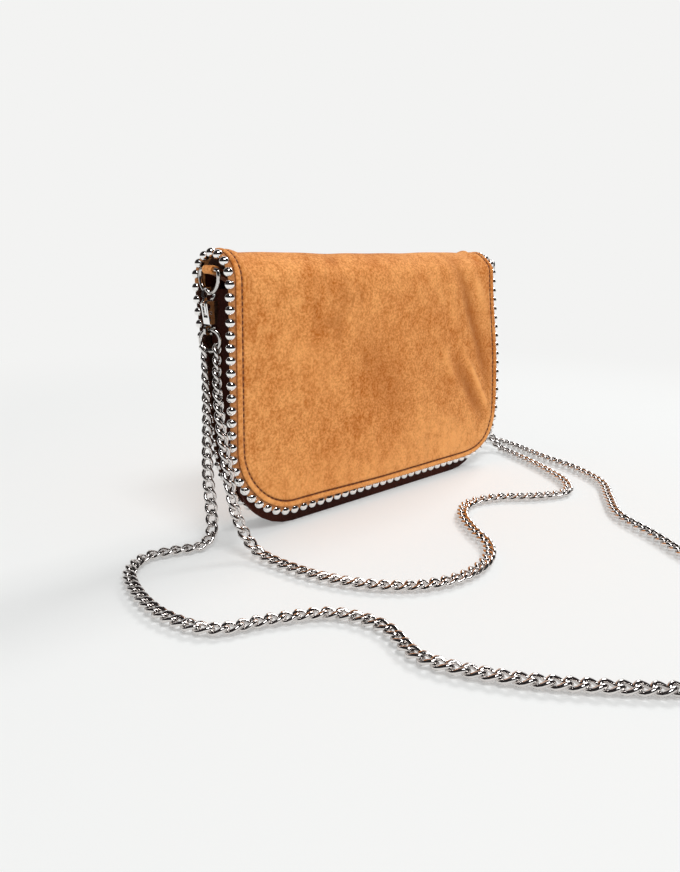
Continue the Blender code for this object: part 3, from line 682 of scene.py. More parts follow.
def all_round(line, foot):
    """Down the left side, along the foot and up the right side, each place with its side."""
    down = [(-1, place) for place in line]
    return down + [(0, place) for place in foot] + [(1, place) for place in reversed(line)]


print(len(flap_line), "places down each side of the flap and", len(foot_line), "along its foot")

# %% [markdown]
# ## Building a sheet with a finished edge
# A cut sheet's edge is turned in and sewn. Its cross-section is drawn once, from the middle
# of the inner side, round the edge and back to the middle of the outer side. That section
# follows the whole outline, and rows across the sheet close it on both sides. Solidify and
# Bevel would give an even thickness and no grooves, so the section is drawn instead. A value
# between 0 and 1 on each point says how deep it lies in the seam or the stitched groove, and
# so how much shade is painted there.


# %% Sheet builder
SIDE_REACH = {-1: 0.9 * MM, 1: 1.4 * MM}  # the reach up the left and the right side
FOOT_REACH = {-1: 1.1 * MM, 1: 2.5 * MM}  # and at the foot's two ends


def flap_reach(kind, v, side):
    """How far the flap's border reaches out over the balls, and how far they sink behind it."""
    if kind == "foot":
        return FOOT_REACH[-1] + (FOOT_REACH[1] - FOOT_REACH[-1]) * ease((v / MM + 66) / 70)
    start, end = SIDE_REACH[side], FOOT_REACH[side]
    if kind == "corner":
        return start + (end - start) * ease(v / CORNER_TURN)
    return start if kind == "side" else start * ease((v - 0.3) / 1.6)


def no_reach(kind, v, side):
    """The back's border reaches over nothing."""
    return 0.0


def inwards(distance, reach, kind, v):
    """A border distance, moved out at the edge. Along the foot, the stitched groove moves with it."""
    grip = 1.0 if kind == "foot" else ease(v / CORNER_TURN) if kind == "corner" else 0.0
    start, span = 3 * MM + 5 * MM * grip, 7 * MM - 2 * MM * grip
    return distance - reach * (1 - ease((distance - start) / span))


def closed_mesh(name, points, faces, finish, painted_shade=None):
    mesh = bpy.data.meshes.new(name)
    mesh.from_pydata([tuple(p) for p in points], [], faces)
    if painted_shade:
        mesh.attributes.new("painted_shade", "FLOAT", "POINT").data.foreach_set("value", painted_shade)
    work = bmesh.new()
    work.from_mesh(mesh)
    bmesh.ops.recalc_face_normals(work, faces=work.faces)
    work.to_mesh(mesh)
    work.free()
    mesh.shade_smooth()
    mesh.set_sharp_from_angle(angle=math.radians(60))
    mesh.materials.append(finish)
    return put(name, mesh)


def painted_groove_shade(kind, v, inward):
    """How much shade is painted into a seam: full along the foot, and softer up the sides, where it is pulled
    less.
    """
    turned = 1.0 if kind == "foot" else ease(v - 0.5) if kind == "corner" else 0.0
    soft = 0.85 if inward < 4.5 else 0.5
    return soft + (1 - soft) * turned


def sheet_solid(name, place, line, foot, section, finish, relief=None, reach=no_reach, inside=None):
    """A closed sheet. With no foot, it is a strip that is open-ended between two side edges."""
    ring = all_round(line, foot)
    points, painted_shade, nap, ids, faces, hidden = [], [], [], [], [], []
    last = len(section) - 1

    def add(kind, v, side, x, inward, face, mark, share):
        point = place(kind, v, side, inward, face)
        if x is not None:
            point.x = x
        if relief:
            normal = place(kind, v, side, inward, face + 1 * MM) - place(kind, v, side, inward, face)
            point = point + normal.normalized() * relief(point, share)
        points.append(point)
        painted_shade.append(mark)
        # The front's creases and foot get painted highlights, and its crease hollows get painted shade.
        nap.append(front_painted_light(point, share) if relief is flap_relief and point.y < 0 else 0.0)
        return len(points) - 1

    for side, (kind, v) in ring:
        over = reach(kind, v, side)
        row = []
        for inward, face, mark in section:
            share = max(0.0, min(1.0, (inward - 3) / 10))
            at = inwards(inward * MM, over, kind, v)
            depth = mark * painted_groove_shade(kind, v, inward)
            row.append(add(kind, v, side, None, at, face * MM, depth, share))
        ids.append(row)
    for i in range(len(ring) - 1):
        if foot or i != len(line) - 1:
            for j in range(last):
                faces.append((ids[i][j], ids[i + 1][j], ids[i + 1][j + 1], ids[i][j + 1]))
                hidden.append(section[j + 1][1] < 0.6 and section[j + 1][2] < 0.9)
    across = len(foot) + 1 if foot else FOOT_STEPS
    for j in (0, last):
        inward, face, mark = section[j]
        rows = []
        for k, (kind, v) in enumerate(line):
            left, right = ids[k][j], ids[len(ring) - 1 - k][j]
            if foot and k == len(line) - 1:
                rows.append([ids[k + c][j] for c in range(across + 1)])
                continue
            start = points[left].x
            step = (points[right].x - start) / across
            places = [start + c * step for c in range(1, across)]
            inner = [add(kind, v, -1, x, inward * MM, face * MM, mark, 1.0) for x in places]
            rows.append([left] + inner + [right])
        for upper, lower in zip(rows, rows[1:]):
            for c in range(across):
                faces.append((upper[c], upper[c + 1], lower[c + 1], lower[c]))
                hidden.append(j == 0)
        if j == 0:
            inner_rows = rows
    ends = [(0, 0)] if foot else [(0, 0), (len(line) - 1, -1)]
    for k, r in ends:
        far_end = list(reversed(ids[len(ring) - 1 - k][1:last]))
        faces.append(tuple(ids[k][1:last] + rows[r] + far_end + list(reversed(inner_rows[r]))))
        hidden.append(False)
    made = closed_mesh(name, points, faces, finish, painted_shade)
    made.data.attributes.new("nap", "FLOAT", "POINT").data.foreach_set("value", nap)
    if inside:
        made.data.materials.append(inside)
        made.data.polygons.foreach_set("material_index", [int(flag) for flag in hidden])
    return made


print("the section goes round", len(all_round(flap_line, foot_line)), "places of the flap")


# %% [markdown]
# ## Soft relief in the flap
# A suede flap isn't flat. Its fold sags a few millimetres between the stiffer edges, most
# near its right end, and the front has soft diagonal creases towards its lower right corner,
# where a hand has bent it. Each crease is a low ridge or a valley that fades out at both ends.
# Sculpting would do, and so would a cloth simulation, but short formulas can be repeated and
# leave the sewn edge exactly where the balls are.

# %% Relief of the flap
CREASES = (  # from, to, height, width, in millimetres on the front
    ((67, 73), (96.5, 28), 1.3, 1.9), ((60, 68), (90, 27), -1.0, 4.4), ((46, 80), (58, 55), 0.6, 2.4),
    ((62, 124), (91, 54), -1.05, 4.2), ((73, 122), (92, 92), 0.7, 3.4), ((53, 112), (61, 84), 0.35, 4.0),
    ((78, 26), (88, 20), -0.5, 2.0), ((26, 40), (66, 18), 0.4, 8.0), ((-70, 96), (-40, 60), 0.25, 9.0),
    ((-20, 90), (10, 48), -0.35, 12.0),
)  # fmt: skip


def crease_height(x, z):
    height = 0.0
    for (x0, z0), (x1, z1), rise_by, width in CREASES:
        run, up = x1 - x0, z1 - z0
        along = ((x - x0) * run + (z - z0) * up) / (run * run + up * up)
        off = abs((x - x0) * up - (z - z0) * run) / math.hypot(run, up)
        if -0.2 < along < 1.2:
            fade = math.sin(math.pi * (along + 0.2) / 1.4)
            height += rise_by * fade * math.exp(-((off / width) ** 2))
    return height


def front_painted_light(point, share):
    """The painted light on the front: a highlight on a crease's ridge, painted shade in its hollow, and a
    painted highlight on the foot, which faces up a little.
    """
    foot = 0.55 * ease((48 * MM - point.z) / (36 * MM))
    return crease_height(point.x / MM, point.z / MM) * share + foot


def flap_relief(point, share):
    x, z = point.x / MM, point.z / MM
    waves = 0.16 * math.sin(x * 0.09 + 1.3) * math.sin(z * 0.11 + 0.4) + 0.1 * math.sin(x * 0.21 + z * 0.13)
    rise = ease((z - 112) / 24)
    depth = 1.7 + 1.6 * ease((x + 70) / 45) + 0.8 * ease((x - 50) / 30) + 0.2 * math.sin(x * 0.07)
    sag = -depth * rise * ease((97 + x) / 9) * ease((92 - x) / 12)
    creases = crease_height(x, z) if point.y < 0 else 0.0
    return (sag + creases + waves) * share * MM


def back_relief(point, share):
    x, z = point.x / MM, point.z / MM
    return 0.2 * math.sin(x * 0.06 + 0.5) * math.sin(z * 0.08) * share * MM if z < 112 else 0.0


print(len(CREASES), "creases, the sharpest", max(crease[2] for crease in CREASES), "mm high")

# %% [markdown]
# ## The suede sheets
# Seen in section, the edge is folded over a thin filler, dips at the seam with the ball
# chain's tape, swells, and dips again where the topstitching pulls it down. The strip at the
# fold is a piece of its own, because on the bag it bends when the flap opens and the others
# don't, though here it is not made to bend. One drawn section serves all three suede pieces,
# so their edges meet.

# %% Suede sheets
# The third number of each point sets how much shade is painted there.
SUEDE_SECTION = (  # in from the balls, off the sheet's middle, and depth in the seam
    (13, 0.45, 0), (5, 0.45, 0), (3.7, 0.3, 0.3), (3.15, 0.4, 1), (3.0, 0.75, 1), (3.08, 1.15, 0.7),
    (3.35, 1.52, 0.1), (3.9, 1.78, 0), (4.6, 1.88, 0), (5.2, 1.76, 0), (5.6, 1.45, 0.25),
    (5.88, 1.08, 0.8), (6.15, 1.0, 0.9), (6.42, 1.08, 0.8), (6.8, 1.42, 0.15), (7.5, 1.62, 0),
    (9.0, 1.68, 0), (13, 1.6, 0),
)  # fmt: skip
LINING_SECTION = (
    (13, 0.35, 0), (4.2, 0.35, 0), (3.9, 0.0, 0), (4.1, -0.5, 0), (4.9, -0.95, 0), (6.5, -1.0, 0),
    (13, -0.9, 0),
)  # fmt: skip
FLAP = (flap_place, flap_line, foot_line)
BACK = (back_place, back_line, foot_line)
FOLD = (back_place, fold_line, [])
flap_suede = sheet_solid("flap_suede", *FLAP, SUEDE_SECTION, suede_finish, flap_relief, flap_reach)
back_suede = sheet_solid("back_suede", *BACK, SUEDE_SECTION, suede_finish, back_relief, inside=leather_finish)
fold_suede = sheet_solid("fold_suede", *FOLD, SUEDE_SECTION, suede_finish, inside=leather_finish)
flap_cloth = sheet_solid("flap_cloth", *FLAP, LINING_SECTION, lining_finish, flap_relief, flap_reach)
for piece in (flap_suede, back_suede, fold_suede, flap_cloth):
    print(piece.name, len(piece.data.polygons), "faces")

# %% [markdown]
# ## The tape that holds the balls
# The ball chain is sewn on inside a folded tape, as piping is. The tape is a rounded strip
# behind the sheet's edge, which reaches round the thin links between the balls. It could be
# a bevelled curve, but built from the sheet's own places it follows every bend of the edge.

# %% Tape and its fold
TAPE_SECTION = (  # in from the balls, and off the sheet's middle
    (4.4, 0.75), (2.6, 1.0), (1.2, 1.08), (0.2, 0.98), (-0.55, 0.62), (-0.82, 0.0), (-0.55, -0.62),
    (0.2, -0.98), (1.2, -1.08), (2.6, -1.0), (4.4, -0.75), (4.5, 0.0),
)  # fmt: skip


SUNK = 0.45  # where the sheet reaches out, the balls and their tape sink by this share of it


def rings_joined(rings, around, closed=False):
    """Faces between rings of points. closed joins the last ring to the first."""
    faces = []
    for i in range(rings if closed else rings - 1):
        n = (i + 1) % rings
        for j in range(around):
            k = (j + 1) % around
            faces.append((i * around + j, i * around + k, n * around + k, n * around + j))
    return faces


def end_caps(rings, around):
    return [tuple(range(around)), tuple((rings - 1) * around + j for j in range(around))]


def tape_solid(name, place, line, foot, finish, side_only=None, reach=no_reach):
    """A closed strip along the outline, or along one side of it."""
    ring = [(side_only, s) for s in line] if side_only else all_round(line, foot)
    points, around = [], len(TAPE_SECTION)
    for side, (kind, v) in ring:
        sunk = SUNK * reach(kind, v, side)
        for inward, face in TAPE_SECTION:
            points.append(place(kind, v, side, inward * MM, face * MM - sunk))
    faces = rings_joined(len(ring), around) + end_caps(len(ring), around)
    return closed_mesh(name, points, faces, finish, [0.0] * len(points))


flap_tape = tape_solid("flap_tape", *FLAP, tape_finish, reach=flap_reach)
back_tape = tape_solid("back_tape", *BACK, painted_shade_tape_finish)
fold_tapes = [tape_solid("fold_tape" + end, *FOLD, tape_finish, side) for side, end in ENDS]
print("tape:", len(flap_tape.data.polygons) + len(back_tape.data.polygons), "faces")

# %% [markdown]
# ## The ball chains
# Steel balls 4.8 mm across sit every 5.8 mm along both edges. Only the halves outside the
# tape show. Each ball has few faces, because smooth shading and a mirror finish hide them.
# The balls sit at equal steps of the edge's length, so that they stay even round the corners.


# %% Ball chains
def edge_line(place, line, foot, inward=0.0, face=0.0, reach=no_reach):
    """The line along an outline, from one end of the fold round to the other. The balls' own line sinks."""

    def at(kind, v, side):
        over = reach(kind, v, side)
        if inward:
            return place(kind, v, side, inwards(inward, over, kind, v), face)
        return place(kind, v, side, 0.0, face - SUNK * over)

    return [at(kind, v, side) for side, (kind, v) in all_round(line, foot)]


def ball_tree():
    g = Grower("ball_chain", ["Radius"])
    return g.repeat(g.ball(14, 9, g.size("Radius")))


balls = ball_tree()
BALL_PITCH = 5.8 * MM
hinge = 0.3 * MM  # half the gap between the last balls of the flap and of the back
flap_full = [("arch", hinge / ARCH_RISE)] + flap_line
back_full = [("side", BACK_LENGTH - hinge)] + back_line
for name, place, line, node, body, reach in (
    ("flap_balls", flap_place, flap_full, "flap_bead_trim", "flap", flap_reach),
    ("back_balls", back_place, back_full, "back_bead_trim", "bag", no_reach),
):
    edge = edge_line(place, line, foot_line, reach=reach)
    count = round(even(edge, 2)[1] / BALL_PITCH)
    points, _ = even(edge, 2 * count)
    tangents, normals = carried(points, 0, (1, 0, 0))
    seats = point_mesh(name, points[1::2], tangents[1::2], normals[1::2])
    made = grown(seats, balls, name, bead_finish, Radius=BEAD)
    belongs(made, body, "polished_steel", node)
    print(name, count, "balls")

# %% [markdown]
# ## Stitches
# The topstitching is a row of short, slightly sunken stitches along the groove. Each one is
# a small bead of thread, longer than it is wide, and lies along the row. A texture could
# draw them, but only real stitches catch the light. The same tree sews the flap and the back.


# %% Stitches
def stitch_tree():
    g = Grower("stitches", ["Length", "Width"])
    size = g.vector(g.size("Length"), g.size("Width"), g.size("Width"))
    made = g.add("GeometryNodeTransform", None, {"Geometry": g.ball(6, 5, 0.5), "Scale": size})
    return g.repeat(made)


sewing = stitch_tree()
STITCH = 2.9 * MM  # from one stitch to the next
GROOVE = (6.15 * MM, 1.16 * MM)  # in from the balls, and off the sheet's middle


def stitched(name, line, normal, body):
    """A row of stitches along a line, flat on the side that normal points out of."""
    count = round(even(line, 2)[1] / STITCH)
    points, _ = even(line, 2 * count)
    tangents, normals = carried(points, len(points) // 2, normal)
    seats = point_mesh(name, points[1::2], tangents[1::2], normals[1::2])
    made = grown(seats, sewing, name, thread_finish, Length=0.76 * STITCH, Width=0.72 * MM)
    return belongs(made, body, "suede_tape")


flap_seams = stitched("flap_stitches", edge_line(*FLAP, *GROOVE, flap_reach), (0, -1, 0), "flap")
back_seams = stitched("back_stitches", edge_line(*BACK, *GROOVE), (0, 1, 0), "bag")
print("stitches:", len(flap_seams.data.polygons) // 30, "and", len(back_seams.data.polygons) // 30)

# %% [markdown]
# ## Which body each sheet belongs to
# The flap's sheet, lining and tape turn with the flap, and the back's stay with the bag.
# The strip at the fold is only baked in place and rides on neither body. A rigid fold would
# either tear off the back or cut into it when the flap opens.

# %% Sheets on their bodies
for piece, body, slot, node in (
    (flap_suede, "flap", "suede", "flap_panel"),
    (flap_cloth, "flap", "lining", "flap_lining"),
    (flap_tape, "flap", "suede_tape", "flap_trim_tape"),
    (back_suede, "bag", "suede", "back_panel"),
    (back_tape, "bag", "suede_tape", "back_trim_tape"),
):
    belongs(piece, body, slot, node)
for piece, slot in ((fold_suede, "suede"), (fold_tapes[0], "suede_tape"), (fold_tapes[1], "suede_tape")):
    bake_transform(piece)

# %% [markdown]
# ## What each sheet was cut to
# Cloth and suede hardly stretch, so a sheet's area stays that of its flat cut. The flap is
# cut 200 mm wide and 156 mm long: 42 mm over the fold and 114 mm down the front, with round
# lower corners. The back is one flat piece, and the lining is a strip folded at its foot.

# %% Flat sizes
print("three sheets")

# %% [markdown]
# ## The pocket
# Between the two sheets hangs the pocket. Its ends are gussets that fold inwards, so the bag
# can close flat. They are lofted from the front wall's outline to the back's, with a soft
# valley between that grows towards the top. The base is the same strip run under the bag.
# Lofted rows with Solidify suit a thin wall with two plain faces and no drawn edge.


# %% Gussets and base
CORNER_AT = 0.62  # the share of a gusset's length where its round corner starts
WALL_IN = 8.3 * MM  # how far in front of the middle the front wall's inner face is


def gusset_point(down, across, side):
    """down is 0 at the rim and 1 at the corner's foot. across is 0 at the back and 1 in front."""
    turn = max(0.0, (down - CORNER_AT) / (1 - CORNER_AT)) * math.pi / 2
    c, s = math.cos(turn), math.sin(turn)
    straight = min(1.0, down / CORNER_AT)
    up = 115.6 - (115.6 - 36) * straight if down <= CORNER_AT else 36 - 31.5 * s
    back = on_back(-(66 + 31.5 * c) * MM, up * MM, -1.2 * MM)
    z = 118 - (118 - 34) * straight if down <= CORNER_AT else 34 * (1 - s)
    front = Vector((-(63.5 + 34 * c) * MM, -WALL_IN, z * MM))
    fold = 4.3 * MM * ((1 - straight) * 0.75 + 0.25 * (1 - turn / (math.pi / 2)))
    dip = 1 - abs(2 * across - 1) ** 1.6
    point = back.lerp(front, across) + Vector((c, 0, s)) * fold * dip
    ripple = 0.25 * MM * math.sin(down * 9) * dip
    point += Vector((c, 0, s)) * ripple
    return Vector((-side * point.x, point.y, point.z))


def strip(name, rows, thickness, finish, offset=-1.0):
    """A thin wall through rows of points, with rounded edges."""
    points = [p for row in rows for p in row]
    across = len(rows[0])
    starts = [i * across + j for i in range(len(rows) - 1) for j in range(across - 1)]
    faces = [(a, a + across, a + across + 1, a + 1) for a in starts]
    mesh = bpy.data.meshes.new(name)
    mesh.from_pydata([tuple(p) for p in points], [], faces)
    mesh.materials.append(finish)
    mesh.shade_smooth()
    made = put(name, mesh)
    wall = made.modifiers.new("wall", "SOLIDIFY")
    wall.thickness, wall.offset = thickness, offset
    wall.use_even_offset = True
    round_edge = made.modifiers.new("edge", "BEVEL")
    round_edge.width, round_edge.segments = 0.22 * MM, 2
    round_edge.limit_method = "ANGLE"
    round_edge.angle_limit = math.radians(50)
    return made


LEATHER = 0.9 * MM
for side, end in ENDS:
    rows = [[gusset_point(k / 34, j / 14, side) for j in range(15)] for k in range(35)]
    if side > 0:
        rows = [list(reversed(row)) for row in rows]
    gusset = strip("gusset_skin" + end, rows, LEATHER, leather_finish)
    belongs(gusset, "bag", "dark_leather", "gusset" + end)
corners = [[gusset_point(1.0, j / 14, side) for j in range(15)] for side, end in ENDS]
base_rows = [[a.lerp(b, k / 30) for a, b in zip(*corners)] for k in range(31)]
base = strip("base_skin", base_rows, LEATHER, leather_finish)
belongs(base, "bag", "dark_leather", "base_panel")
print("gussets and base")

# %% [markdown]
# ## The lining
# The lining is a loose bag inside the pocket. Its levels have rounded corners and ripple a
# little between them, and Solidify gives the cloth its thickness. It hangs nearly still in
# a narrow pocket, so a simulation would change very little.


# %% Lining pouch
def pouch_ring(half, front, back, z, wave):
    """One level of the pouch: four round corners, and two long sides that ripple between them."""
    loop = []
    corner = 2.2 * MM
    centres = ((half - corner, front + corner, -90), (half - corner, back - corner, 0))
    centres += ((corner - half, back - corner, 90), (corner - half, front + corner, 180))
    for k, (x, y, start) in enumerate(centres):
        for step in range(5):
            angle = math.radians(start + 90 * step / 4)
            loop.append(Vector((x + corner * math.cos(angle), y + corner * math.sin(angle), z)))
        if k in (0, 2):
            continue
        sign = 1 if k == 1 else -1
        for step in range(1, 24):
            share = step / 24
            x_here = sign * (half - corner) * (1 - 2 * share)
            ripple = 0.22 * MM * (1 + math.sin(x_here / MM * 0.13 + wave))
            loop.append(Vector((x_here, (back if sign > 0 else front) - sign * ripple, z)))
    return loop


pouch_levels = [(62 + 28 * math.sin(a), 37.4 - 28 * math.cos(a)) for a in np.linspace(0, math.pi / 2, 9)]
pouch_levels += [(90, z) for z in np.linspace(46, 117.6, 14)]
loops = []
for k, (half, z) in enumerate(pouch_levels):
    back_y = FOOT_Y + (z * MM - BEAD) * math.tan(LEAN) - 1.1 * MM
    loops.append(pouch_ring(half * MM, -7.9 * MM, back_y, z * MM, k * 0.3))
around = len(loops[0])
pouch_faces = [tuple(reversed(range(around)))] + rings_joined(len(loops), around)
pouch_mesh = bpy.data.meshes.new("pouch")
pouch_mesh.from_pydata([tuple(p) for loop in loops for p in loop], [], pouch_faces)
pouch_mesh.materials.append(lining_finish)
pouch_mesh.shade_smooth()
pouch = put("pouch", pouch_mesh)
wall = pouch.modifiers.new("wall", "SOLIDIFY")
wall.thickness, wall.offset = 0.7 * MM, -1.0
belongs(pouch, "bag", "lining", "lining_pouch")
print("lining:", len(pouch_mesh.polygons), "faces")

# %% [markdown]
# ## Fittings with rounded edges
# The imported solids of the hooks, rings and plates already have the right shape, but their
# edges are sharp, and a real casting's never are. A copy has its loose triangles merged, its
# flat faces joined again, and its edges rounded by a Bevel modifier. Modelling them anew
# would risk parts that no longer fit each other.


# %% Rounded copies
EDGE_ANGLE = math.radians(32)  # an edge that is sharper than this is rounded


def rounded(node, name, finish, slot, body, width, segments=2):
    """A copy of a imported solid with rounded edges, which stands for it."""
    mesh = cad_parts[node].data.copy()
    work = bmesh.new()
    work.from_mesh(mesh)
    bmesh.ops.remove_doubles(work, verts=work.verts, dist=1e-6)
    bmesh.ops.dissolve_limit(work, angle_limit=math.radians(2), verts=work.verts, edges=work.edges)
    work.to_mesh(mesh)
    work.free()
    mesh.materials.clear()
    mesh.materials.append(finish)
    mesh.shade_smooth()
    mesh.set_sharp_from_angle(angle=EDGE_ANGLE)
    made = put(name, mesh)
    step = made.modifiers.new("edge", "BEVEL")
    step.width, step.segments = width, segments
    step.limit_method = "ANGLE"
    step.angle_limit = EDGE_ANGLE
    step.harden_normals = True
    belongs(made, body, slot, node)


for side, end in ENDS:
    hook = "hook" + end
    for node, name, finish, body, width, segments in (
        ("hook_body", "hook_casting", bead_finish, hook, 0.28 * MM, 3),
        ("hook_lever", "hook_thumb", bead_finish, "lever" + end, 0.2 * MM, 2),
        ("hook_pin", "hook_rivet", chain_finish, hook, 0.1 * MM, 2),
        ("swivel_eye", "swivel_loop", shaded_ring_finish, "bag", 0.3 * MM, 3),
    ):
        rounded(node + end, name + end, finish, "polished_steel", body, width, segments)
rounded("front_panel", "front_wall", leather_finish, "dark_leather", "bag", 0.35 * MM, 3)
rounded("card_pocket", "card_holder", leather_finish, "dark_leather", "bag", 0.15 * MM)
for node, name, body, width in (
    ("magnet_socket", "snap_socket", "bag", 0.2 * MM),
    ("magnet_stud", "snap_stud", "flap", 0.2 * MM),
    ("socket_washer", "snap_back", "bag", 0.08 * MM),
    ("stud_washer", "snap_front", "flap", 0.08 * MM),
):
    rounded(node, name, chain_finish, "polished_steel", body, width)
print("fittings rounded")

# %% [markdown]
# ## Rings and springs
# A ring is bent from round wire, so it is a tube along a closed line. The D-ring has one
# straight side, which the tab holds, and the strap's ring is round. A curve with a bevel
# would do as well. Swept by hand, the tube is a closed mesh with no seam from the start.


# %% Wire pieces
def wire(name, points, radius, finish, closed, sides=12):
    """A round wire along points, as a closed mesh."""
    points = np.array([tuple(p) for p in points])
    count = len(points)
    if closed:
        steps_along = np.roll(points, -1, axis=0) - np.roll(points, 1, axis=0)
    else:
        steps_along = np.gradient(points, axis=0)
    tangents = steps_along / np.linalg.norm(steps_along, axis=1)[:, None]
    verts = []
    flat = np.cross(tangents[0], points[0] - points.mean(axis=0))
    flat = flat / np.linalg.norm(flat)
    for k in range(count):
        side = np.cross(tangents[k], flat)
        side = side / np.linalg.norm(side)
        up = np.cross(side, tangents[k])
        for s in range(sides):
            a = 2 * math.pi * s / sides
            verts.append(points[k] + radius * (math.cos(a) * side + math.sin(a) * up))
    faces = rings_joined(count, sides, closed) + ([] if closed else end_caps(count, sides))
    return closed_mesh(name, verts, faces, finish)


def ring_pieces(end, side):
    """The D-ring, the strap's round ring and the hook's spring at one end."""
    d_low, d_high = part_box("d_ring" + end)
    x, y = (d_low.x + d_high.x) / 2, (d_low.y + d_high.y) / 2
    half, corner, thick = 7.5 * MM, 1.8 * MM, 1.0 * MM
    top, foot = d_high.z - thick, d_low.z + thick

    def turn_round(run, z, radius, start, stop, count):
        angles = np.linspace(start * math.pi, stop * math.pi, count)
        return [(run + radius * math.cos(a), z + radius * math.sin(a)) for a in angles]

    bent = turn_round(0, foot + half, half, 1, 2, 28)
    bent += turn_round(half - corner, top - corner, corner, 0, 0.5, 6)
    bent += turn_round(corner - half, top - corner, corner, 0.5, 1, 6)
    d_ring = wire("d_ring_wire" + end, [(x, y + run, z) for run, z in bent], thick, shaded_ring_finish, True)
    r_low, r_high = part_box("strap_ring" + end)
    rx, ry, rz = (r_low + r_high) / 2
    turn, radius = math.radians(30), 5.05 * MM
    circle = []
    for run, z in turn_round(0, rz, radius, 0, 2, 41)[:-1]:
        circle.append((rx - side * run * math.sin(turn), ry - run * math.cos(turn), z))
    strap_ring = wire("strap_ring_wire" + end, circle, 1.02 * MM, shaded_ring_finish, True)
    s_low, s_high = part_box("hook_spring" + end)
    sx, sz = (s_low.x + s_high.x) / 2, (s_low.z + s_high.z) / 2
    coil = []
    for k in range(73):
        a = 2 * math.pi * k / 24
        y_here = s_low.y + 0.15 * MM + (s_high.y - s_low.y - 0.3 * MM) * k / 72
        coil.append((sx + 0.9 * MM * math.cos(a), y_here, sz + 0.9 * MM * math.sin(a)))
    spring = wire("hook_coil" + end, coil, 0.13 * MM, chain_finish, False, 6)
    belongs(d_ring, "bag", "polished_steel", "d_ring" + end)
    belongs(strap_ring, "bag", "polished_steel", "strap_ring" + end)
    belongs(spring, "hook" + end, "polished_steel", "hook_spring" + end)


for side, end in ENDS:
    ring_pieces(end, side)
print("rings and springs")

# %% [markdown]
# ## The suede tabs
# Each D-ring hangs in a strip of suede folded over its straight side. The strip comes up
# from inside the gusset, goes round the bar and is sewn to itself. Its side view is one
# smooth line, so it is drawn as that line and given its width and thickness afterwards.


# %% Tabs
RIM = 119.6 * MM  # the height of the gusset's rim
LOOP = 1.6  # the radius of the tab's turn round the bar, in millimetres


def tab(end, side):
    """A strip that comes up inside the gusset, goes round the D-ring's bar and back down."""
    t_low, t_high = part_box("strap_tab" + end)
    d_low, d_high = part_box("d_ring" + end)
    bar = Vector(((d_low.x + d_high.x) / 2, 0, d_high.z - 1 * MM))
    inner, drop, rim = (t_low.x if side > 0 else t_high.x), t_low.z, RIM

    def by_rim(out, up):
        return inner + side * out * MM, rim + up * MM

    def by_bar(out, up):
        return bar.x + side * out * MM, bar.z + up * MM

    angles = np.linspace(math.radians(-115), math.radians(115), 15)
    line = [(inner, drop), by_rim(0, -2), by_rim(1.2, 0.6), by_rim(5.5, 3.3), by_bar(-2.4, -1.9)]
    line += [by_bar(LOOP * math.cos(a), LOOP * math.sin(a)) for a in angles]
    line += [by_bar(-2.4, 1.0), by_rim(5.0, 5.2), by_rim(0.4, 2.4), by_rim(-1.0, -2)]
    line += [(inner - side * 1.0 * MM, drop)]
    smooth, _ = even(smooth_line([(x / MM, 0, z / MM) for x, z in line], 6), 60)
    half = (t_high.y - t_low.y) / 2
    y_mid = (t_high.y + t_low.y) / 2
    rows = []
    for x, _, z in smooth:
        narrow = 0.66 - 0.06 * ease((z - rim) / (6 * MM))
        rows.append([Vector((x, y_mid + half * narrow * c / 4, z)) for c in range(-4, 5)])
    if side < 0:
        rows = [list(reversed(row)) for row in rows]
    made = strip("tab_suede" + end, rows, 0.85 * MM, suede_finish, 0.0)
    wear_and_shade = []  # painted shade below the rim, inside the pocket, and behind the bar, where little light reaches
    for vertex in made.data.vertices:
        below = 1 - ease((vertex.co.z - rim - 3.0 * MM) / (2.6 * MM))
        behind = ease((abs(bar.x) - 1.2 * MM - abs(vertex.co.x)) / (2.5 * MM))
        wear_and_shade.append(max(below, behind))
    made.data.attributes.new("painted_shade", "FLOAT", "POINT").data.foreach_set("value", wear_and_shade)
    belongs(made, "bag", "suede", "strap_tab" + end)


for side, end in ENDS:
    tab(end, side)
print("tabs")

# %% [markdown]
# ## Floor and light
# The bag stands on a pale floor that runs into a pale wall with no line between them. Far
# from the bag the floor simply glows in the wall's colour. Soft light comes from the right
# and from above, and the room's dark side gives the polished balls their dark band. A curved
# studio backdrop would also hide the line, but it would show in every polished ball.

# %% Floor
WALL = srgb(243, 243, 242)
floor_mesh = bpy.data.meshes.new("floor")
floor_mesh.from_pydata([(-4, -4, 0), (4, -4, 0), (4, 4, 0), (-4, 4, 0)], [], [(0, 1, 2, 3)])
floor = put("floor", floor_mesh)
ground = Finish("floor")
ground.done(Base_Color=(0.875, 0.895, 0.90), Roughness=0.95, Specular_IOR_Level=0.1)
distance = ground.node("ShaderNodeVectorMath", {"operation": "LENGTH"}, {0: ground.place}, "Value")
glow = ground.node("ShaderNodeEmission", {}, {"Color": WALL, "Strength": 1.0})
far = distance.between(0.26, 0.62) * 0.68 + 0.32
mixed = ground.tree.nodes.new("ShaderNodeMixShader")
ground.tree.links.new(far.socket, mixed.inputs[0])
ground.tree.links.new(ground.shader.outputs[0], mixed.inputs[1])
ground.tree.links.new(glow.socket, mixed.inputs[2])
ground.tree.links.new(mixed.outputs[0], ground.tree.nodes["Material Output"].inputs["Surface"])
floor_mesh.materials.append(ground.material)
print("floor")

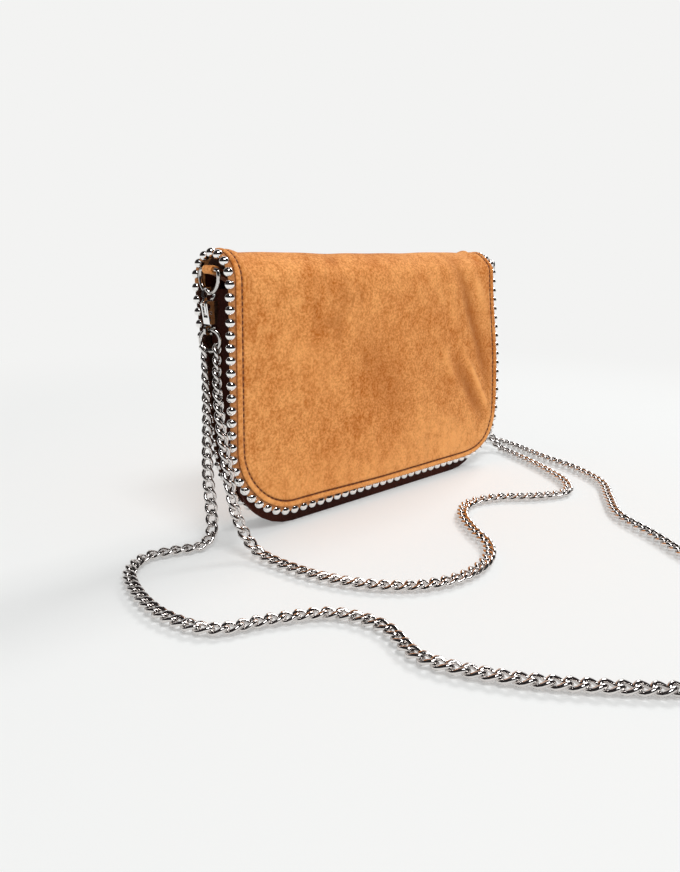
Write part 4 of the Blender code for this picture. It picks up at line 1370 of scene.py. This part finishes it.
# %% Room and lamps
room = bpy.data.worlds.new("room")
bpy.context.scene.world = room
room.use_nodes = True
tree = room.node_tree
back_drop = tree.nodes["Background"]
back_drop.inputs["Color"].default_value = (*WALL, 1)
seen = tree.nodes.new("ShaderNodeLightPath")
looking = tree.nodes.new("ShaderNodeTexCoord")
to_wall = tree.nodes.new("ShaderNodeVectorMath")
to_wall.operation = "DOT_PRODUCT"
to_wall.inputs[1].default_value = (*VIEW_LINE, 0.0)
tree.links.new(looking.outputs["Generated"], to_wall.inputs[0])
mirrored = tree.nodes.new("ShaderNodeValToRGB")
stops = mirrored.color_ramp.elements
stops[0].position, stops[0].color = 0.45, (0.025, 0.022, 0.022, 1)
stops[1].position, stops[1].color = 0.80, (0.85, 0.84, 0.83, 1)
tree.links.new(to_wall.outputs["Value"], mirrored.inputs[0])


def world_light(colour, strength):
    made = tree.nodes.new("ShaderNodeBackground")
    made.inputs["Strength"].default_value = strength
    if isinstance(colour, tuple):
        made.inputs["Color"].default_value = (*colour, 1)
    else:
        tree.links.new(colour, made.inputs["Color"])
    return made


def either(ray, yes, no):
    chosen = tree.nodes.new("ShaderNodeMixShader")
    tree.links.new(seen.outputs[ray], chosen.inputs[0])
    tree.links.new(no.outputs[0], chosen.inputs[1])
    tree.links.new(yes.outputs[0], chosen.inputs[2])
    return chosen


soft = world_light((1.0, 0.985, 0.965), 0.45)
studio = world_light(mirrored.outputs["Color"], 1.0)
mixed_light = either("Is Camera Ray", back_drop, either("Is Glossy Ray", studio, soft))
tree.links.new(mixed_light.outputs[0], tree.nodes["World Output"].inputs["Surface"])


def lamp(name, place, target, size, watts, colour=(1, 1, 1)):
    light = bpy.data.lights.new(name, "AREA")
    light.shape = "RECTANGLE"
    light.size, light.size_y = size
    light.energy, light.color = watts, colour
    made = put(name, light)
    made.location = place
    aim = Vector(target) - Vector(place)
    made.rotation_euler = aim.to_track_quat("-Z", "Y").to_euler()


MIDDLE = (0, 0, 0.05)
lamp("key", (1.65, 0.20, 1.70), MIDDLE, (0.75, 0.75), 23.0, (1.0, 0.99, 0.975))
lamp("front", (-0.5, -1.3, 2.2), MIDDLE, (1.1, 0.6), 25.5)
print("room and two lamps")
